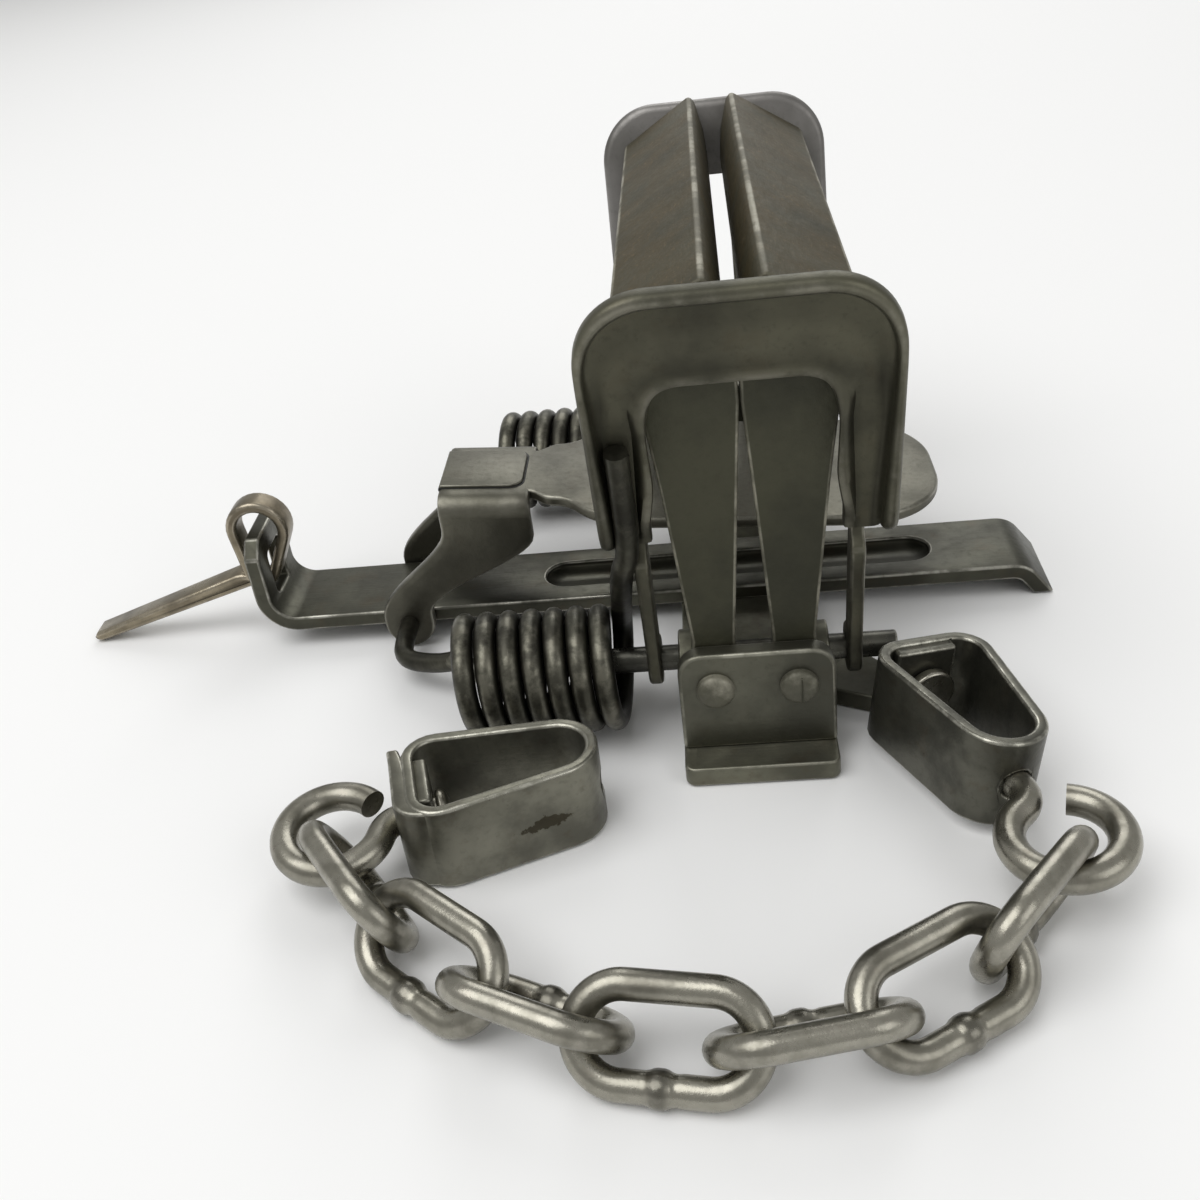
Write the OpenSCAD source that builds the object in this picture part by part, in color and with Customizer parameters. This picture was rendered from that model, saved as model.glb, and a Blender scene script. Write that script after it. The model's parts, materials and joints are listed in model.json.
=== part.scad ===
// Coil-spring foothold trap, sprung: jaws closed, levers up, with its chain and two swivels.
// Millimetres. X runs along the crossbar, Y along the jaw hinges, Z up from the floor.

/* [Base] */
// Width of the base bar and of both end posts
base_width = 23; // [21:0.5:26]
// Thickness of the base bar
base_thick = 3.2; // [2.6:0.1:4]
// Half the distance between the outer faces of the end posts
post_face = 49; // [47:0.5:54]
// How far the base bar reaches past each post
foot = 5; // [2:0.5:8]
// Thickness of an end post
post_thick = 3; // [2.4:0.1:3.6]
// Height of an end post above the jaw hinge
post_over = 6; // [5:0.5:9]
// Corner radius of an end post
post_corner = 3.2; // [1:0.2:5]

/* [Crossbar] */
// Width of the crossbar
cross_width = 17; // [14:0.5:18]
// Thickness of the crossbar
cross_thick = 2.8; // [2.2:0.1:3.2]
// Distance from the middle to the outer face of the dog post
dog_post_x = 88; // [86:0.5:96]
// Distance from the middle to the start of the toe bend
toe_x = 46; // [36:1:56]
// Angle that the toe bends down
toe_angle = 52; // [35:1:60]

/* [Jaws] */
// Half the distance between the two jaw hinges
jaw_pivot_x = 6.1; // [5.8:0.1:6.6]
// Height of the jaw hinges above the base bar's top
jaw_pivot_over = 10.9; // [10:0.1:12]
// Height of the jaw ridge above the hinge
jaw_reach = 62.5; // [60:0.5:66]
// Thickness of a jaw leg along the hinge
jaw_leg = 4.8; // [4:0.1:5.2]
// Half the gap between the two gripping faces
jaw_gap = 1.2; // [0.8:0.1:2]
// Radius of a jaw stud
stud_r = 2.7; // [2.2:0.1:3]

/* [Levers] */
// Length of a lever from its axle to its top edge
lever_length = 66; // [64:0.5:70]
// Half the width of a lever
lever_half = 20.7; // [20.4:0.1:21]
// Thickness of the lever sheet
lever_sheet = 2.2; // [1.6:0.1:2.3]
// Outward lean of a lever at rest, degrees
lever_lean = 13.2; // [13:0.1:14]
// Depth of the lever's outer flange
flange_depth = 5.1; // [3:0.1:5.2]
// Distance of each axle from the middle
axle_y = 36; // [34.5:0.1:36.2]
// Height of the axles
axle_z = 11.2; // [11:0.1:12]
// Radius of an axle
axle_r = 2; // [1.6:0.1:2.2]

/* [Springs] */
// Wire diameter
wire = 3.05; // [2.6:0.05:3.1]
// Mean radius of the coil
coil_r = 8.3; // [7.6:0.1:8.6]
// Advance of one turn
coil_pitch = 3.56; // [3.5:0.02:3.7]

/* [Pan and dog] */
// Length of the pan's plate
pan_length = 64; // [58:1:66]
// Width of the pan's plate
pan_width = 36.5; // [32:0.5:40]
// Height of the pan's top at the middle
pan_z = 25.2; // [24:0.2:27]
// Slope of the pan at rest, degrees
pan_tilt = 4.2; // [3:0.1:5]
// Thickness of the pan
pan_sheet = 2; // [1.6:0.1:2.4]
// Width of the dog strip
dog_width = 5; // [4:0.2:5.6]
// Thickness of the dog's loop
dog_strip = 2; // [1.6:0.1:2.1]

/* [Chain] */
// Wire diameter of a link
link_wire = 3.9; // [3.4:0.1:4]
// Inner length of a link
link_length = 18; // [17.6:0.1:18.6]
// Inner width of a link
link_width = 7.4; // [7.2:0.1:7.8]
// Height of a swivel strap
strap_height = 14; // [13:0.2:15]
// Thickness of a swivel strap
strap_thick = 1.8; // [1.4:0.1:2]
// Length of a swivel strap
strap_length = 28; // [27.5:0.1:28.5]
// Half the width of a swivel strap at its wall
strap_half = 9; // [8.6:0.1:9.2]
// Wire radius of an eye pin
pin_r = 2.1; // [1.8:0.05:2.2]

/* [Hidden] */
$fn = 48;
e = 0.01;
fit = 0.05;
base_end = post_face + foot;
post_in = post_face - post_thick;
jaw_out = post_in - 0.3;
jaw_in = jaw_out - jaw_leg;
pivot_z = base_thick + jaw_pivot_over;
ridge_z = pivot_z + jaw_reach;
post_top = pivot_z + post_over;
cross_z = base_thick;
cross_top = cross_z + cross_thick;
lug_thick = 2.6;
lug_r = 4.3;
ear_in = 14.2;
window_half = 13.4;
lip = 1.4;
arm_start = 26;
window_top = lever_length - 13.5;
half_sheet = lever_sheet / 2;
lug_sheet = 2.2;
lug_half = 4;
rivet_r = 2;
dog_x = -dog_post_x + cross_thick / 2;
dog_bar = 4.4;
dog_z = cross_top + 13.2;
loop_top = [0, 1.8];
loop_low = [-1.3, -6.2];
loop_in = 3.7;
loop_tip = 1.5;
pan_x = -60;
pan_pivot_z = base_thick + 1.6;
ear_y = cross_width / 2 + 0.7;
ear_sheet = 2.2;
strap_corner = 4.8;
strap_nose = 6.4;
strap_mid = strap_height / 2;
eye_r = 7;
eye_bend = 4;
eye_turn = acos(eye_bend / (eye_r + eye_bend));
eye_lead = (eye_r + eye_bend) * sin(eye_turn);
eye_reach = eye_lead + 0.8;
base_wall = [24, -40.6];
base_head = -70;
base_roll = 8;
base_mid = strap_mid * cos(base_roll) + strap_half * sin(base_roll) + 0.05;
stake_head = 14;
slack = 1.25;
link_step = link_length - slack;
eye_step = link_length / 2 + link_wire / 2 + 0.9;
link_z = 5.95;
heads = [-121.5, -139.8, -159.5, -180, -197.8, -212.2, -226.6, -242.2];
rolls = [74, -36, 45, -45, 45, -45, 64];

function dir(a) = [cos(a), sin(a)];
base_eye = base_wall + (strap_length + eye_reach) * dir(base_head);
// Middle of link n, counted from 0 at the base swivel; number 7 is the stake eye
function link_at(n) = n == 0 ? base_eye + eye_step * dir(heads[0])
    : link_at(n - 1) + (n == 7 ? eye_step : link_step) * dir(heads[n]);
stake_eye = link_at(7);
stake_wall = stake_eye + eye_reach * dir(stake_head);

// A plate drawn in X and Z, y0 to y1 thick
module xz(y0, y1) {
    translate([0, y1, 0]) rotate([90, 0, 0]) linear_extrude(y1 - y0) children();
}

// A rounded rectangle from low to high
module round_rect(low, high, r) {
    translate(low + [r, 0]) square([high[0] - low[0] - 2 * r, high[1] - low[1]]);
    translate(low + [0, r]) square([high[0] - low[0], high[1] - low[1] - 2 * r]);
    for (x = [low[0] + r, high[0] - r], y = [low[1] + r, high[1] - r]) translate([x, y]) circle(r);
}

// Base
module axle_lug(side, y) {
    translate([side > 0 ? base_width / 2 - lug_thick : -base_width / 2, y, 0]) rotate([90, 0, 90])
        linear_extrude(lug_thick) difference() {
            union() {
                translate([0, axle_z]) circle(lug_r);
                translate([-lug_r, base_thick / 2]) square([2 * lug_r, axle_z - base_thick / 2]);
            }
            translate([0, axle_z]) circle(axle_r);
        }
}

module swivel_tab() {
    d = dir(base_head);
    n = dir(base_head + 90);
    back = base_wall - (lug_sheet + 0.2) * d;
    front = base_wall - 0.2 * d;
    linear_extrude(base_thick) polygon([[base_width / 2 - 1, -35.5], [base_width / 2 - 1, -23], [17, -25.5],
        back + lug_half * n, front + lug_half * n, front - lug_half * n, back - lug_half * n]);
    translate([base_wall[0], base_wall[1], 0]) rotate([0, 0, base_head]) difference() {
        translate([-lug_sheet - 0.2, -lug_half, 0]) cube([lug_sheet, 2 * lug_half, base_mid + 4.2]);
        translate([-4, 0, base_mid]) rotate([0, 90, 0]) cylinder(r = rivet_r, h = 5);
    }
}

module base_bar() {
    color([0.4, 0.39, 0.34]) {
        linear_extrude(base_thick) round_rect([-base_width / 2, -base_end], [base_width / 2, base_end], 1.6);
        for (side = [-1, 1], y = [-axle_y, axle_y]) axle_lug(side, y);
        swivel_tab();
    }
}

module jaw_post() {
    xz(-post_face, -post_in) difference() {
        union() {
            round_rect([-base_width / 2, base_thick + 1], [base_width / 2, post_top], post_corner);
            translate([-base_width / 2, base_thick]) square([base_width, post_corner + 2]);
        }
        for (s = [-1, 1]) translate([s * jaw_pivot_x, pivot_z]) circle(stud_r + fit);
    }
}

module front_jaw_post() {
    color([0.36, 0.35, 0.3]) jaw_post();
}

module rear_jaw_post() {
    color([0.36, 0.35, 0.3]) mirror([0, 1, 0]) jaw_post();
}

// Crossbar with its dog post, toe and sunk rib
module ring_part(ri, ro, a0, a1) {
    difference() {
        circle(ro);
        circle(ri);
        rotate(a0) translate([-2 * ro, -4 * ro]) square(4 * ro);
        rotate(a1) translate([-2 * ro, 0]) square(4 * ro);
    }
}

module cross_profile() {
    bend = 4.2;
    out = bend + cross_thick;
    left = -dog_post_x + out;
    toe = 2.4;
    toe_out = toe + cross_thick;
    toe_len = (cross_z - toe + toe_out * cos(toe_angle)) / sin(toe_angle);
    translate([left, cross_z]) square([toe_x - left, cross_thick]);
    translate([left, cross_z + out]) intersection() {
        difference() {
            circle(out);
            circle(bend);
        }
        translate([-out, -out]) square(out);
    }
    translate([-dog_post_x, cross_z + out]) square([cross_thick, dog_z + dog_bar / 2 - cross_z - out]);
    intersection() {
        union() {
            translate([toe_x, cross_z - toe]) difference() {
                circle(toe_out);
                circle(toe);
                translate([-2 * toe_out, -2 * toe_out]) square([2 * toe_out, 4 * toe_out]);
                rotate(-toe_angle) translate([-2 * toe_out, -4 * toe_out]) square([4 * toe_out, 4 * toe_out]);
                rotate(90 - toe_angle) translate([-2 * toe_out, -4 * toe_out]) square([4 * toe_out, 4 * toe_out]);
            }
            translate([toe_x, cross_z - toe]) rotate(-toe_angle) translate([0, toe])
                square([toe_len + 2, cross_thick]);
        }
        translate([toe_x, 0]) square([40, 40]);
    }
}

groove_left = -36;
groove_right = 33;
groove_half = 4;
module cross_bar() {
    color([0.45, 0.44, 0.4]) difference() {
        xz(-cross_width / 2, cross_width / 2) cross_profile();
        translate([0, 0, cross_top - 1.2]) linear_extrude(3)
            round_rect([groove_left, -groove_half], [groove_right, groove_half], groove_half - 0.1);
        translate([-dog_post_x - 1, 0, 0]) rotate([90, 0, 90]) linear_extrude(cross_thick + 2)
            round_rect([-dog_width / 2 - 1.1, cross_top + 2.6], [dog_width / 2 + 1.1, dog_z - dog_bar / 2], 1);
        for (s = [-1, 1]) translate([-dog_post_x - 1, s * cross_width / 2, dog_z + dog_bar / 2])
            rotate([45, 0, 0]) translate([0, -2, -2]) cube([cross_thick + 1.6, 4, 4]);
    }
}

// Axles
axle_left = -46.5;
axle_right = 22;
module axle() {
    translate([axle_left, -axle_y, axle_z]) rotate([0, 90, 0]) cylinder(r = axle_r, h = axle_right - axle_left);
}

module front_axle() {
    color([0.42, 0.41, 0.38]) axle();
}

module rear_axle() {
    color([0.42, 0.41, 0.38]) mirror([0, 1, 0]) axle();
}

// Springs: one wire each, from its tip in the lever, round the coil, to its end in the pan's ear
coil_y = -axle_y - 1.4;
coil_x = -20.2;
tip_l = 44.5;
knee_l = 25.5;
tip_off = half_sheet + wire / 2 + 0.35;
tip_x = -(window_half + lip + lever_half - lever_sheet) / 2;
// A point at length l along the front lever, off out from the middle of its sheet
function on_lever(x, l, off) = [x, -axle_y - l * sin(lever_lean) - off * cos(lever_lean),
    axle_z + l * cos(lever_lean) - off * sin(lever_lean)];
leg_tip = on_lever(tip_x, tip_l, tip_off);
leg_rise = on_lever(tip_x, knee_l + 0.7, tip_off);
leg_knee = on_lever(tip_x - 1.7, knee_l - 2.9, tip_off + 0.13);
knee_d = norm([leg_knee[1] - coil_y, leg_knee[2] - axle_z]);
start_a = atan2(leg_knee[2] - axle_z, leg_knee[1] - coil_y) - acos(coil_r / knee_d);
end_a = 20 - 7 * 360;
turns = (start_a - end_a) / 360;
coil_n = ceil(turns * 8);
coil_end = coil_x - coil_pitch * turns;
leg_foot = [coil_x, coil_y + coil_r * cos(start_a), axle_z + coil_r * sin(start_a)];
leg_end = [coil_end, coil_y + coil_r * cos(end_a), axle_z + coil_r * sin(end_a)];
pin_end = -ear_y + 0.25;
spring_path = concat(
    [leg_tip, leg_tip * 0.5 + leg_rise * 0.5, leg_rise, leg_knee, leg_knee * 0.6 + leg_foot * 0.4,
        leg_knee * 0.2 + leg_foot * 0.8],
    [for (i = [0:coil_n]) let (k = i / coil_n, a = start_a + (end_a - start_a) * k)
        [coil_x - coil_pitch * turns * k, coil_y + coil_r * cos(a), axle_z + coil_r * sin(a)]],
    [leg_end + [-0.7, 1, -3.2], leg_end + [-2.2, 2, -5.9], leg_end + [-5, 3.3, -7.7],
        [pan_x * 0.6 + coil_end * 0.4, leg_end[1] + 4.9, pan_pivot_z + 0.5],
        [pan_x + 2.2, leg_end[1] + 6.6, pan_pivot_z + 0.1], [pan_x + 0.5, leg_end[1] + 8.8, pan_pivot_z],
        [pan_x, leg_end[1] + 11.8, pan_pivot_z], [pan_x, pin_end - 3.2, pan_pivot_z], [pan_x, pin_end, pan_pivot_z]]);
spring_gap = min([for (i = [0:len(spring_path) - 8], j = [i + 7:len(spring_path) - 1])
    norm(spring_path[i] - spring_path[j])]) - wire;
echo(least_gap_of_each_spring_to_itself = spring_gap);

function unit(v) = v / norm(v);
function tangent(p, i) = unit(p[min(i + 1, len(p) - 1)] - p[max(i - 1, 0)]);
function side_of(t, ref) = unit(ref - (ref * t) * t);

module tube(path, r, sides, ref) {
    n = len(path);
    points = [for (i = [0:n - 1]) let (t = tangent(path, i), u = side_of(t, ref), v = cross(t, u))
        for (s = [0:sides - 1]) path[i] + r * (cos(s * 360 / sides) * u + sin(s * 360 / sides) * v)];
    walls = [for (i = [0:n - 2], s = [0:sides - 1]) let (a = i * sides + s, b = i * sides + (s + 1) % sides)
        each [[a, a + sides, b], [b, a + sides, b + sides]]];
    caps = [for (s = [1:sides - 2]) each [[0, s, s + 1],
        [(n - 1) * sides, (n - 1) * sides + s + 1, (n - 1) * sides + s]]];
    polyhedron(points, concat(walls, caps), convexity = 12);
}

module front_spring() {
    color([0.38, 0.37, 0.33]) tube(spring_path, wire / 2, 6, [1, 0, 0]);
}

module rear_spring() {
    color([0.38, 0.37, 0.33]) mirror([0, 1, 0]) tube(spring_path, wire / 2, 6, [1, 0, 0]);
}

// Jaws
leg_gap = 0.5;
bar_depth = 12.2;
jaw_wide = 10.3;
module jaw_leg_shape() {
    low = pivot_z + 6.4;
    mid = ridge_z - 18.6;
    polygon([[jaw_pivot_x - 3.5, pivot_z], [jaw_pivot_x - 3.4, low], [leg_gap, mid], [leg_gap, ridge_z - 3],
        [jaw_gap + 1.8, ridge_z - 0.6], [jaw_pivot_x + jaw_wide, ridge_z - 7.6],
        [jaw_pivot_x + jaw_wide, ridge_z - 10.6], [jaw_pivot_x + 6.1, mid], [jaw_pivot_x + 2.9, low],
        [jaw_pivot_x + 3.5, pivot_z]]);
    translate([jaw_pivot_x, pivot_z]) circle(3.5);
}

module jaw_bar_shape() {
    polygon([[jaw_gap, ridge_z - bar_depth + 0.6], [jaw_gap, ridge_z - 1.8], [jaw_gap + 1.8, ridge_z],
        [jaw_pivot_x + jaw_wide, ridge_z - 7.6], [jaw_pivot_x + jaw_wide, ridge_z - 10.6],
        [jaw_pivot_x + 8, ridge_z - bar_depth + 0.6], [jaw_gap + 5, ridge_z - bar_depth]]);
}

// The ridge falls away over the last few millimetres at each end
module ridge_fall() {
    translate([-1, jaw_out - 6.5, ridge_z]) rotate([-24, 0, 0]) cube([40, 20, 12]);
}

module jaw() {
    for (s = [0, 1]) mirror([0, s, 0]) {
        difference() {
            xz(jaw_in, jaw_out) jaw_leg_shape();
            ridge_fall();
        }
        translate([jaw_pivot_x, post_face + 1.6, pivot_z]) rotate([90, 0, 0])
            cylinder(r = stud_r, h = post_face + 1.6 - jaw_out + 1);
    }
    difference() {
        xz(-jaw_out, jaw_out) jaw_bar_shape();
        for (s = [0, 1]) mirror([0, s, 0]) ridge_fall();
    }
}

module right_jaw() {
    color([0.4, 0.38, 0.31]) jaw();
}

module left_jaw() {
    color([0.4, 0.38, 0.31]) mirror([1, 0, 0]) jaw();
}

// Levers, drawn flat: X across, Y from the axle outward, Z towards the outer face
module lever_outline(inset) {
    r = 10 - inset;
    x = lever_half - inset;
    y = lever_length - inset;
    translate([-x, arm_start]) square([2 * x, y - r - arm_start]);
    translate([-x + r, y - r - e]) square([2 * x - 2 * r, r + e]);
    for (s = [-1, 1]) translate([s * (x - r), y - r]) circle(r);
}

module window_shape(grow) {
    x = window_half + grow;
    y = window_top + grow;
    r = 6 + grow;
    translate([-x, arm_start - 10]) square([2 * x, y - r - arm_start + 10]);
    translate([-x + r, y - r - e]) square([2 * x - 2 * r, r + e]);
    for (s = [-1, 1]) translate([s * (x - r), y - r]) circle(r);
}

module lever_ear(side) {
    translate([side > 0 ? ear_in : -ear_in - lever_sheet, 0, 0]) rotate([90, 0, 90])
        linear_extrude(lever_sheet) difference() {
            union() {
                circle(axle_r + 2);
                polygon([[0, -half_sheet], [arm_start + 4, -half_sheet], [arm_start + 4, half_sheet],
                    [arm_start - 1, half_sheet], [arm_start - 3.5, 3.2], [0, 3.2]]);
            }
            circle(axle_r + fit);
        }
}

// The lip beside the window, which sinks into the sheet towards the window's top
module window_lip() {
    intersection() {
        translate([0, 0, -half_sheet]) linear_extrude(half_sheet + 2.6) intersection() {
            difference() {
                window_shape(lip);
                window_shape(0);
            }
            lever_outline(0);
        }
        translate([-lever_half, window_top + lip, half_sheet - 0.3]) rotate([-19, 0, 0])
            translate([0, -60, -20]) cube([2 * lever_half, 62, 20]);
    }
}

module lever() {
    translate([0, -axle_y, axle_z]) rotate([90 + lever_lean, 0, 0]) {
        translate([0, 0, -half_sheet]) linear_extrude(lever_sheet) difference() {
            lever_outline(0);
            window_shape(0);
        }
        translate([0, 0, -half_sheet]) linear_extrude(flange_depth) difference() {
            lever_outline(0);
            lever_outline(lever_sheet);
            translate([-lever_half + lever_sheet, arm_start - 1])
                square([2 * lever_half - 2 * lever_sheet, lever_sheet + 1.5]);
        }
        window_lip();
        for (side = [-1, 1]) lever_ear(side);
    }
}

module front_lever() {
    color([0.35, 0.34, 0.3]) lever();
}

module rear_lever() {
    color([0.45, 0.45, 0.45]) mirror([0, 1, 0]) lever();
}

// Pan with its two ears
pan_right = 33.5;
pan_left = pan_right - pan_length;
neck_end = pan_x + 8.5;
neck_half = ear_y + ear_sheet - 1.2;
pan_corner = pan_width / 2 - 3.4;
pan_fillet = 5;
fillet_y = neck_half + pan_fillet;
fillet_in = pan_corner / (pan_corner + pan_fillet);
fillet_dy = fillet_y - pan_width / 2 + pan_corner;
fillet_dx = sqrt(pow(pan_corner + pan_fillet, 2) - pow(fillet_dy, 2));
corner_x = pan_left + pan_corner;
module pan_flat() {
    round_rect([pan_left, -pan_width / 2], [pan_right, pan_width / 2], pan_corner);
    round_rect([neck_end, -neck_half], [pan_left + 20, neck_half], 2);
    for (s = [0, 1]) mirror([0, s]) difference() {
        polygon([[corner_x - fillet_dx, neck_half - 2], [corner_x - fillet_dx, neck_half],
            [corner_x - fillet_dx * fillet_in, fillet_y - fillet_dy * (1 - fillet_in)],
            [corner_x - 4, neck_half - 2]]);
        translate([corner_x - fillet_dx, fillet_y]) circle(pan_fillet);
    }
}

ear_left = neck_end + 0.8;
ear_right = neck_end + 16;
ear_round = 4.5;
function ease(t) = let (k = min(1, max(0, t))) k * k * (3 - 2 * k);
// Edge of an ear at height z, swinging from the pivot's width to the neck's between two heights
function ear_edge(side, low, high, z) =
    pan_x + side * ear_round + ((side < 0 ? ear_left : ear_right) - pan_x - side * ear_round)
    * ease((z - low) / (high - low));
module pan_ear() {
    top = pan_z + 0.4;
    steps = 12;
    xz(-ear_y - ear_sheet, -ear_y) difference() {
        union() {
            polygon(concat(
                [for (i = [0:steps]) let (z = pan_pivot_z + (top - pan_pivot_z) * i / steps)
                    [ear_edge(-1, 6, 21.5, z), z + (i == steps ? 1.8 : 0)]],
                [for (i = [steps:-1:0]) let (z = pan_pivot_z + (top - pan_pivot_z) * i / steps)
                    [ear_edge(1, 6.5, 20, z), z + (i == steps ? 0.7 : 0)]]));
            translate([pan_x, pan_pivot_z]) circle(ear_round);
        }
        translate([pan_x, pan_pivot_z]) circle(wire / 2 + 0.32);
    }
}

module pan() {
    color([0.58, 0.56, 0.52]) {
        translate([0, 0, pan_z]) rotate([0, pan_tilt, 0]) translate([0, 0, -pan_sheet])
            linear_extrude(pan_sheet) pan_flat();
        pan_ear();
        mirror([0, 1, 0]) pan_ear();
    }
}

module pan_catch() {
    color([0.6, 0.58, 0.54]) translate([0, 0, pan_z]) rotate([0, pan_tilt, 0])
        linear_extrude(0.9) round_rect([neck_end - 1.2, -7.4], [neck_end + 14.6, 7.4], 2.6);
}

// Dog: a drop-shaped loop round the bar of its post, and a straight tapered shank
dog_reach = 37.2;
function arc(c, r, a0, a1, n) = [for (i = [0:n]) c + r * dir(a0 + (a1 - a0) * i / n)];
loop_axis = unit(loop_top - loop_low);
loop_a = atan2(loop_axis[1], loop_axis[0]);
loop_b = acos((loop_tip - loop_in) / norm(loop_top - loop_low));
module loop_shape(grow) {
    polygon(concat(arc(loop_top, loop_in + grow, loop_a - loop_b, loop_a + loop_b, 18),
        arc(loop_low, loop_tip + grow, loop_a + loop_b, loop_a + 360 - loop_b, 10)));
}

module dog() {
    color([0.56, 0.5, 0.4]) translate([dog_x, 0, dog_z]) {
        xz(-dog_width / 2, dog_width / 2) difference() {
            union() {
                loop_shape(dog_strip);
                polygon([[-2, -8.2], [-5.2, -7], [-6.4, -7.1], [-dog_reach + 0.8, -17.3], [-dog_reach, -18.1],
                    [-dog_reach + 0.3, -19], [-dog_reach + 1.4, -19.2], [-6.6, -10.4], [-4, -9.6]]);
            }
            loop_shape(0);
        }
    }
}

// Swivel straps: wall at X 0, nose along +X
strap_c1 = [strap_corner, strap_half - strap_corner];
strap_c2 = [strap_length - strap_nose, 0];
strap_slope = unit(strap_c2 - strap_c1);
strap_a = atan2(strap_slope[1], strap_slope[0])
    + acos((strap_corner - strap_nose) / norm(strap_c2 - strap_c1));
module strap_shape(inset) {
    low = [strap_c1[0], -strap_c1[1]];
    polygon(concat(arc(strap_c1, strap_corner - inset, 180, strap_a, 6),
        arc(strap_c2, strap_nose - inset, strap_a, -strap_a, 21),
        arc(low, strap_corner - inset, -strap_a, -180, 6)));
}

module strap(wall_hole, nose_hole) {
    difference() {
        union() {
            linear_extrude(strap_height) difference() {
                strap_shape(0);
                strap_shape(strap_thick);
            }
            translate([strap_thick - 0.2, -strap_half + 2 * strap_thick, 0.4])
                cube([strap_thick + 0.2, 2 * strap_half - 4 * strap_thick - 1.2, strap_height - 0.8]);
        }
        translate([-1, 0, strap_mid]) rotate([0, 90, 0]) cylinder(r = wall_hole, h = 8);
        translate([strap_length - 6, 0, strap_mid]) rotate([0, 90, 0]) cylinder(r = nose_hole, h = 8);
    }
}

module at_base() {
    translate([base_wall[0], base_wall[1], base_mid]) rotate([-base_roll, 0, base_head])
        translate([0, 0, -strap_mid]) children();
}

module at_stake() {
    translate([stake_wall[0], stake_wall[1], 0]) rotate([0, 0, stake_head]) children();
}

module base_swivel_box() {
    color([0.43, 0.43, 0.4]) at_base() strap(rivet_r + fit, pin_r + fit);
}

module stake_swivel_box() {
    color([0.43, 0.43, 0.4]) at_stake() strap(pin_r + fit, pin_r + fit);
}

module swivel_rivet() {
    color([0.5, 0.49, 0.45]) at_base() translate([0, 0, strap_mid]) rotate([0, 90, 0]) {
        translate([0, 0, 2 * strap_thick + 0.3]) cylinder(r = 3.7, h = 1.8);
        translate([0, 0, -lug_sheet - 0.2]) cylinder(r = rivet_r, h = 2 * strap_thick + lug_sheet + 1);
    }
}

// Eye pin along +X: head from head_x, shank, elbow, and an eye whose middle is at eye_x
module eye_pin(head_x, eye_x, roll) {
    bend_x = eye_x - eye_lead;
    ring = arc([eye_x, 0], eye_r, 270 - eye_turn, 555 - eye_turn, 30);
    path = concat([[bend_x - 2, 0]], arc([bend_x, -eye_bend], eye_bend, 90, 90 - eye_turn, 6),
        [for (i = [1:30]) ring[i]]);
    translate([0, 0, strap_mid]) rotate([roll, 0, 0]) {
        translate([head_x, 0, 0]) rotate([0, 90, 0]) cylinder(r = 3, h = 1.9);
        translate([head_x + 0.5, 0, 0]) rotate([0, 90, 0]) cylinder(r = pin_r, h = bend_x - head_x - 0.5);
        tube([for (p = path) [p[0], p[1], 0]], pin_r - 0.03, 10, [0, 0, 1]);
    }
}

module base_eye_pin() {
    color([0.5, 0.49, 0.44]) at_base()
        eye_pin(strap_length - strap_nose - 0.1, strap_length + eye_reach, 4 + base_roll);
}

module stake_eye_pin() {
    color([0.5, 0.49, 0.44]) at_stake() mirror([1, 0, 0])
        eye_pin(-2 * strap_thick - 2.2, eye_reach, 6);
}

// Chain
module link_shape() {
    r = link_wire / 2;
    w = link_width / 2 + r;
    l = link_length / 2 + r - w;
    for (s = [0, 180]) rotate(s) {
        translate([l, 0, 0]) rotate(-90) rotate_extrude(angle = 180) translate([w, 0]) circle(r);
        translate([-l, w, 0]) rotate([0, 90, 0]) cylinder(r = r, h = 2 * l);
    }
}

module chain_link(n) {
    p = link_at(n);
    half = link_width / 2 + link_wire / 2;
    color([0.48, 0.47, 0.43]) translate([p[0], p[1], max(link_z, half * sin(abs(rolls[n])) + link_wire / 2)])
        rotate([0, 0, (heads[n] + heads[n + 1]) / 2]) rotate([rolls[n], 0, 0]) link_shape();
}

module chain_link_1() { chain_link(0); }
module chain_link_2() { chain_link(1); }
module chain_link_3() { chain_link(2); }
module chain_link_4() { chain_link(3); }
module chain_link_5() { chain_link(4); }
module chain_link_6() { chain_link(5); }
module chain_link_7() { chain_link(6); }

base_bar();
front_jaw_post();
rear_jaw_post();
cross_bar();
front_axle();
rear_axle();
front_spring();
rear_spring();
swivel_rivet();
left_jaw();
right_jaw();
front_lever();
rear_lever();
pan();
pan_catch();
dog();
base_swivel_box();
base_eye_pin();
chain_link_1();
chain_link_2();
chain_link_3();
chain_link_4();
chain_link_5();
chain_link_6();
chain_link_7();
stake_eye_pin();
stake_swivel_box();
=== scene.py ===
"""Dresses a sprung coil-spring foothold trap: cast jaws, stamped levers, wound springs, pan, dog and chain.

Lengths are in millimetres and angles of fields in degrees; meshes are in metres.
"""

import json
import logging
from dataclasses import dataclass
from enum import Enum
from math import acos, asin, atan2, copysign, cos, exp, hypot, pi, radians, sin, sqrt, tan
from typing import Any, Callable, Optional, Sequence, Union

import bmesh
import bpy
from mathutils import Matrix, Vector

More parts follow.
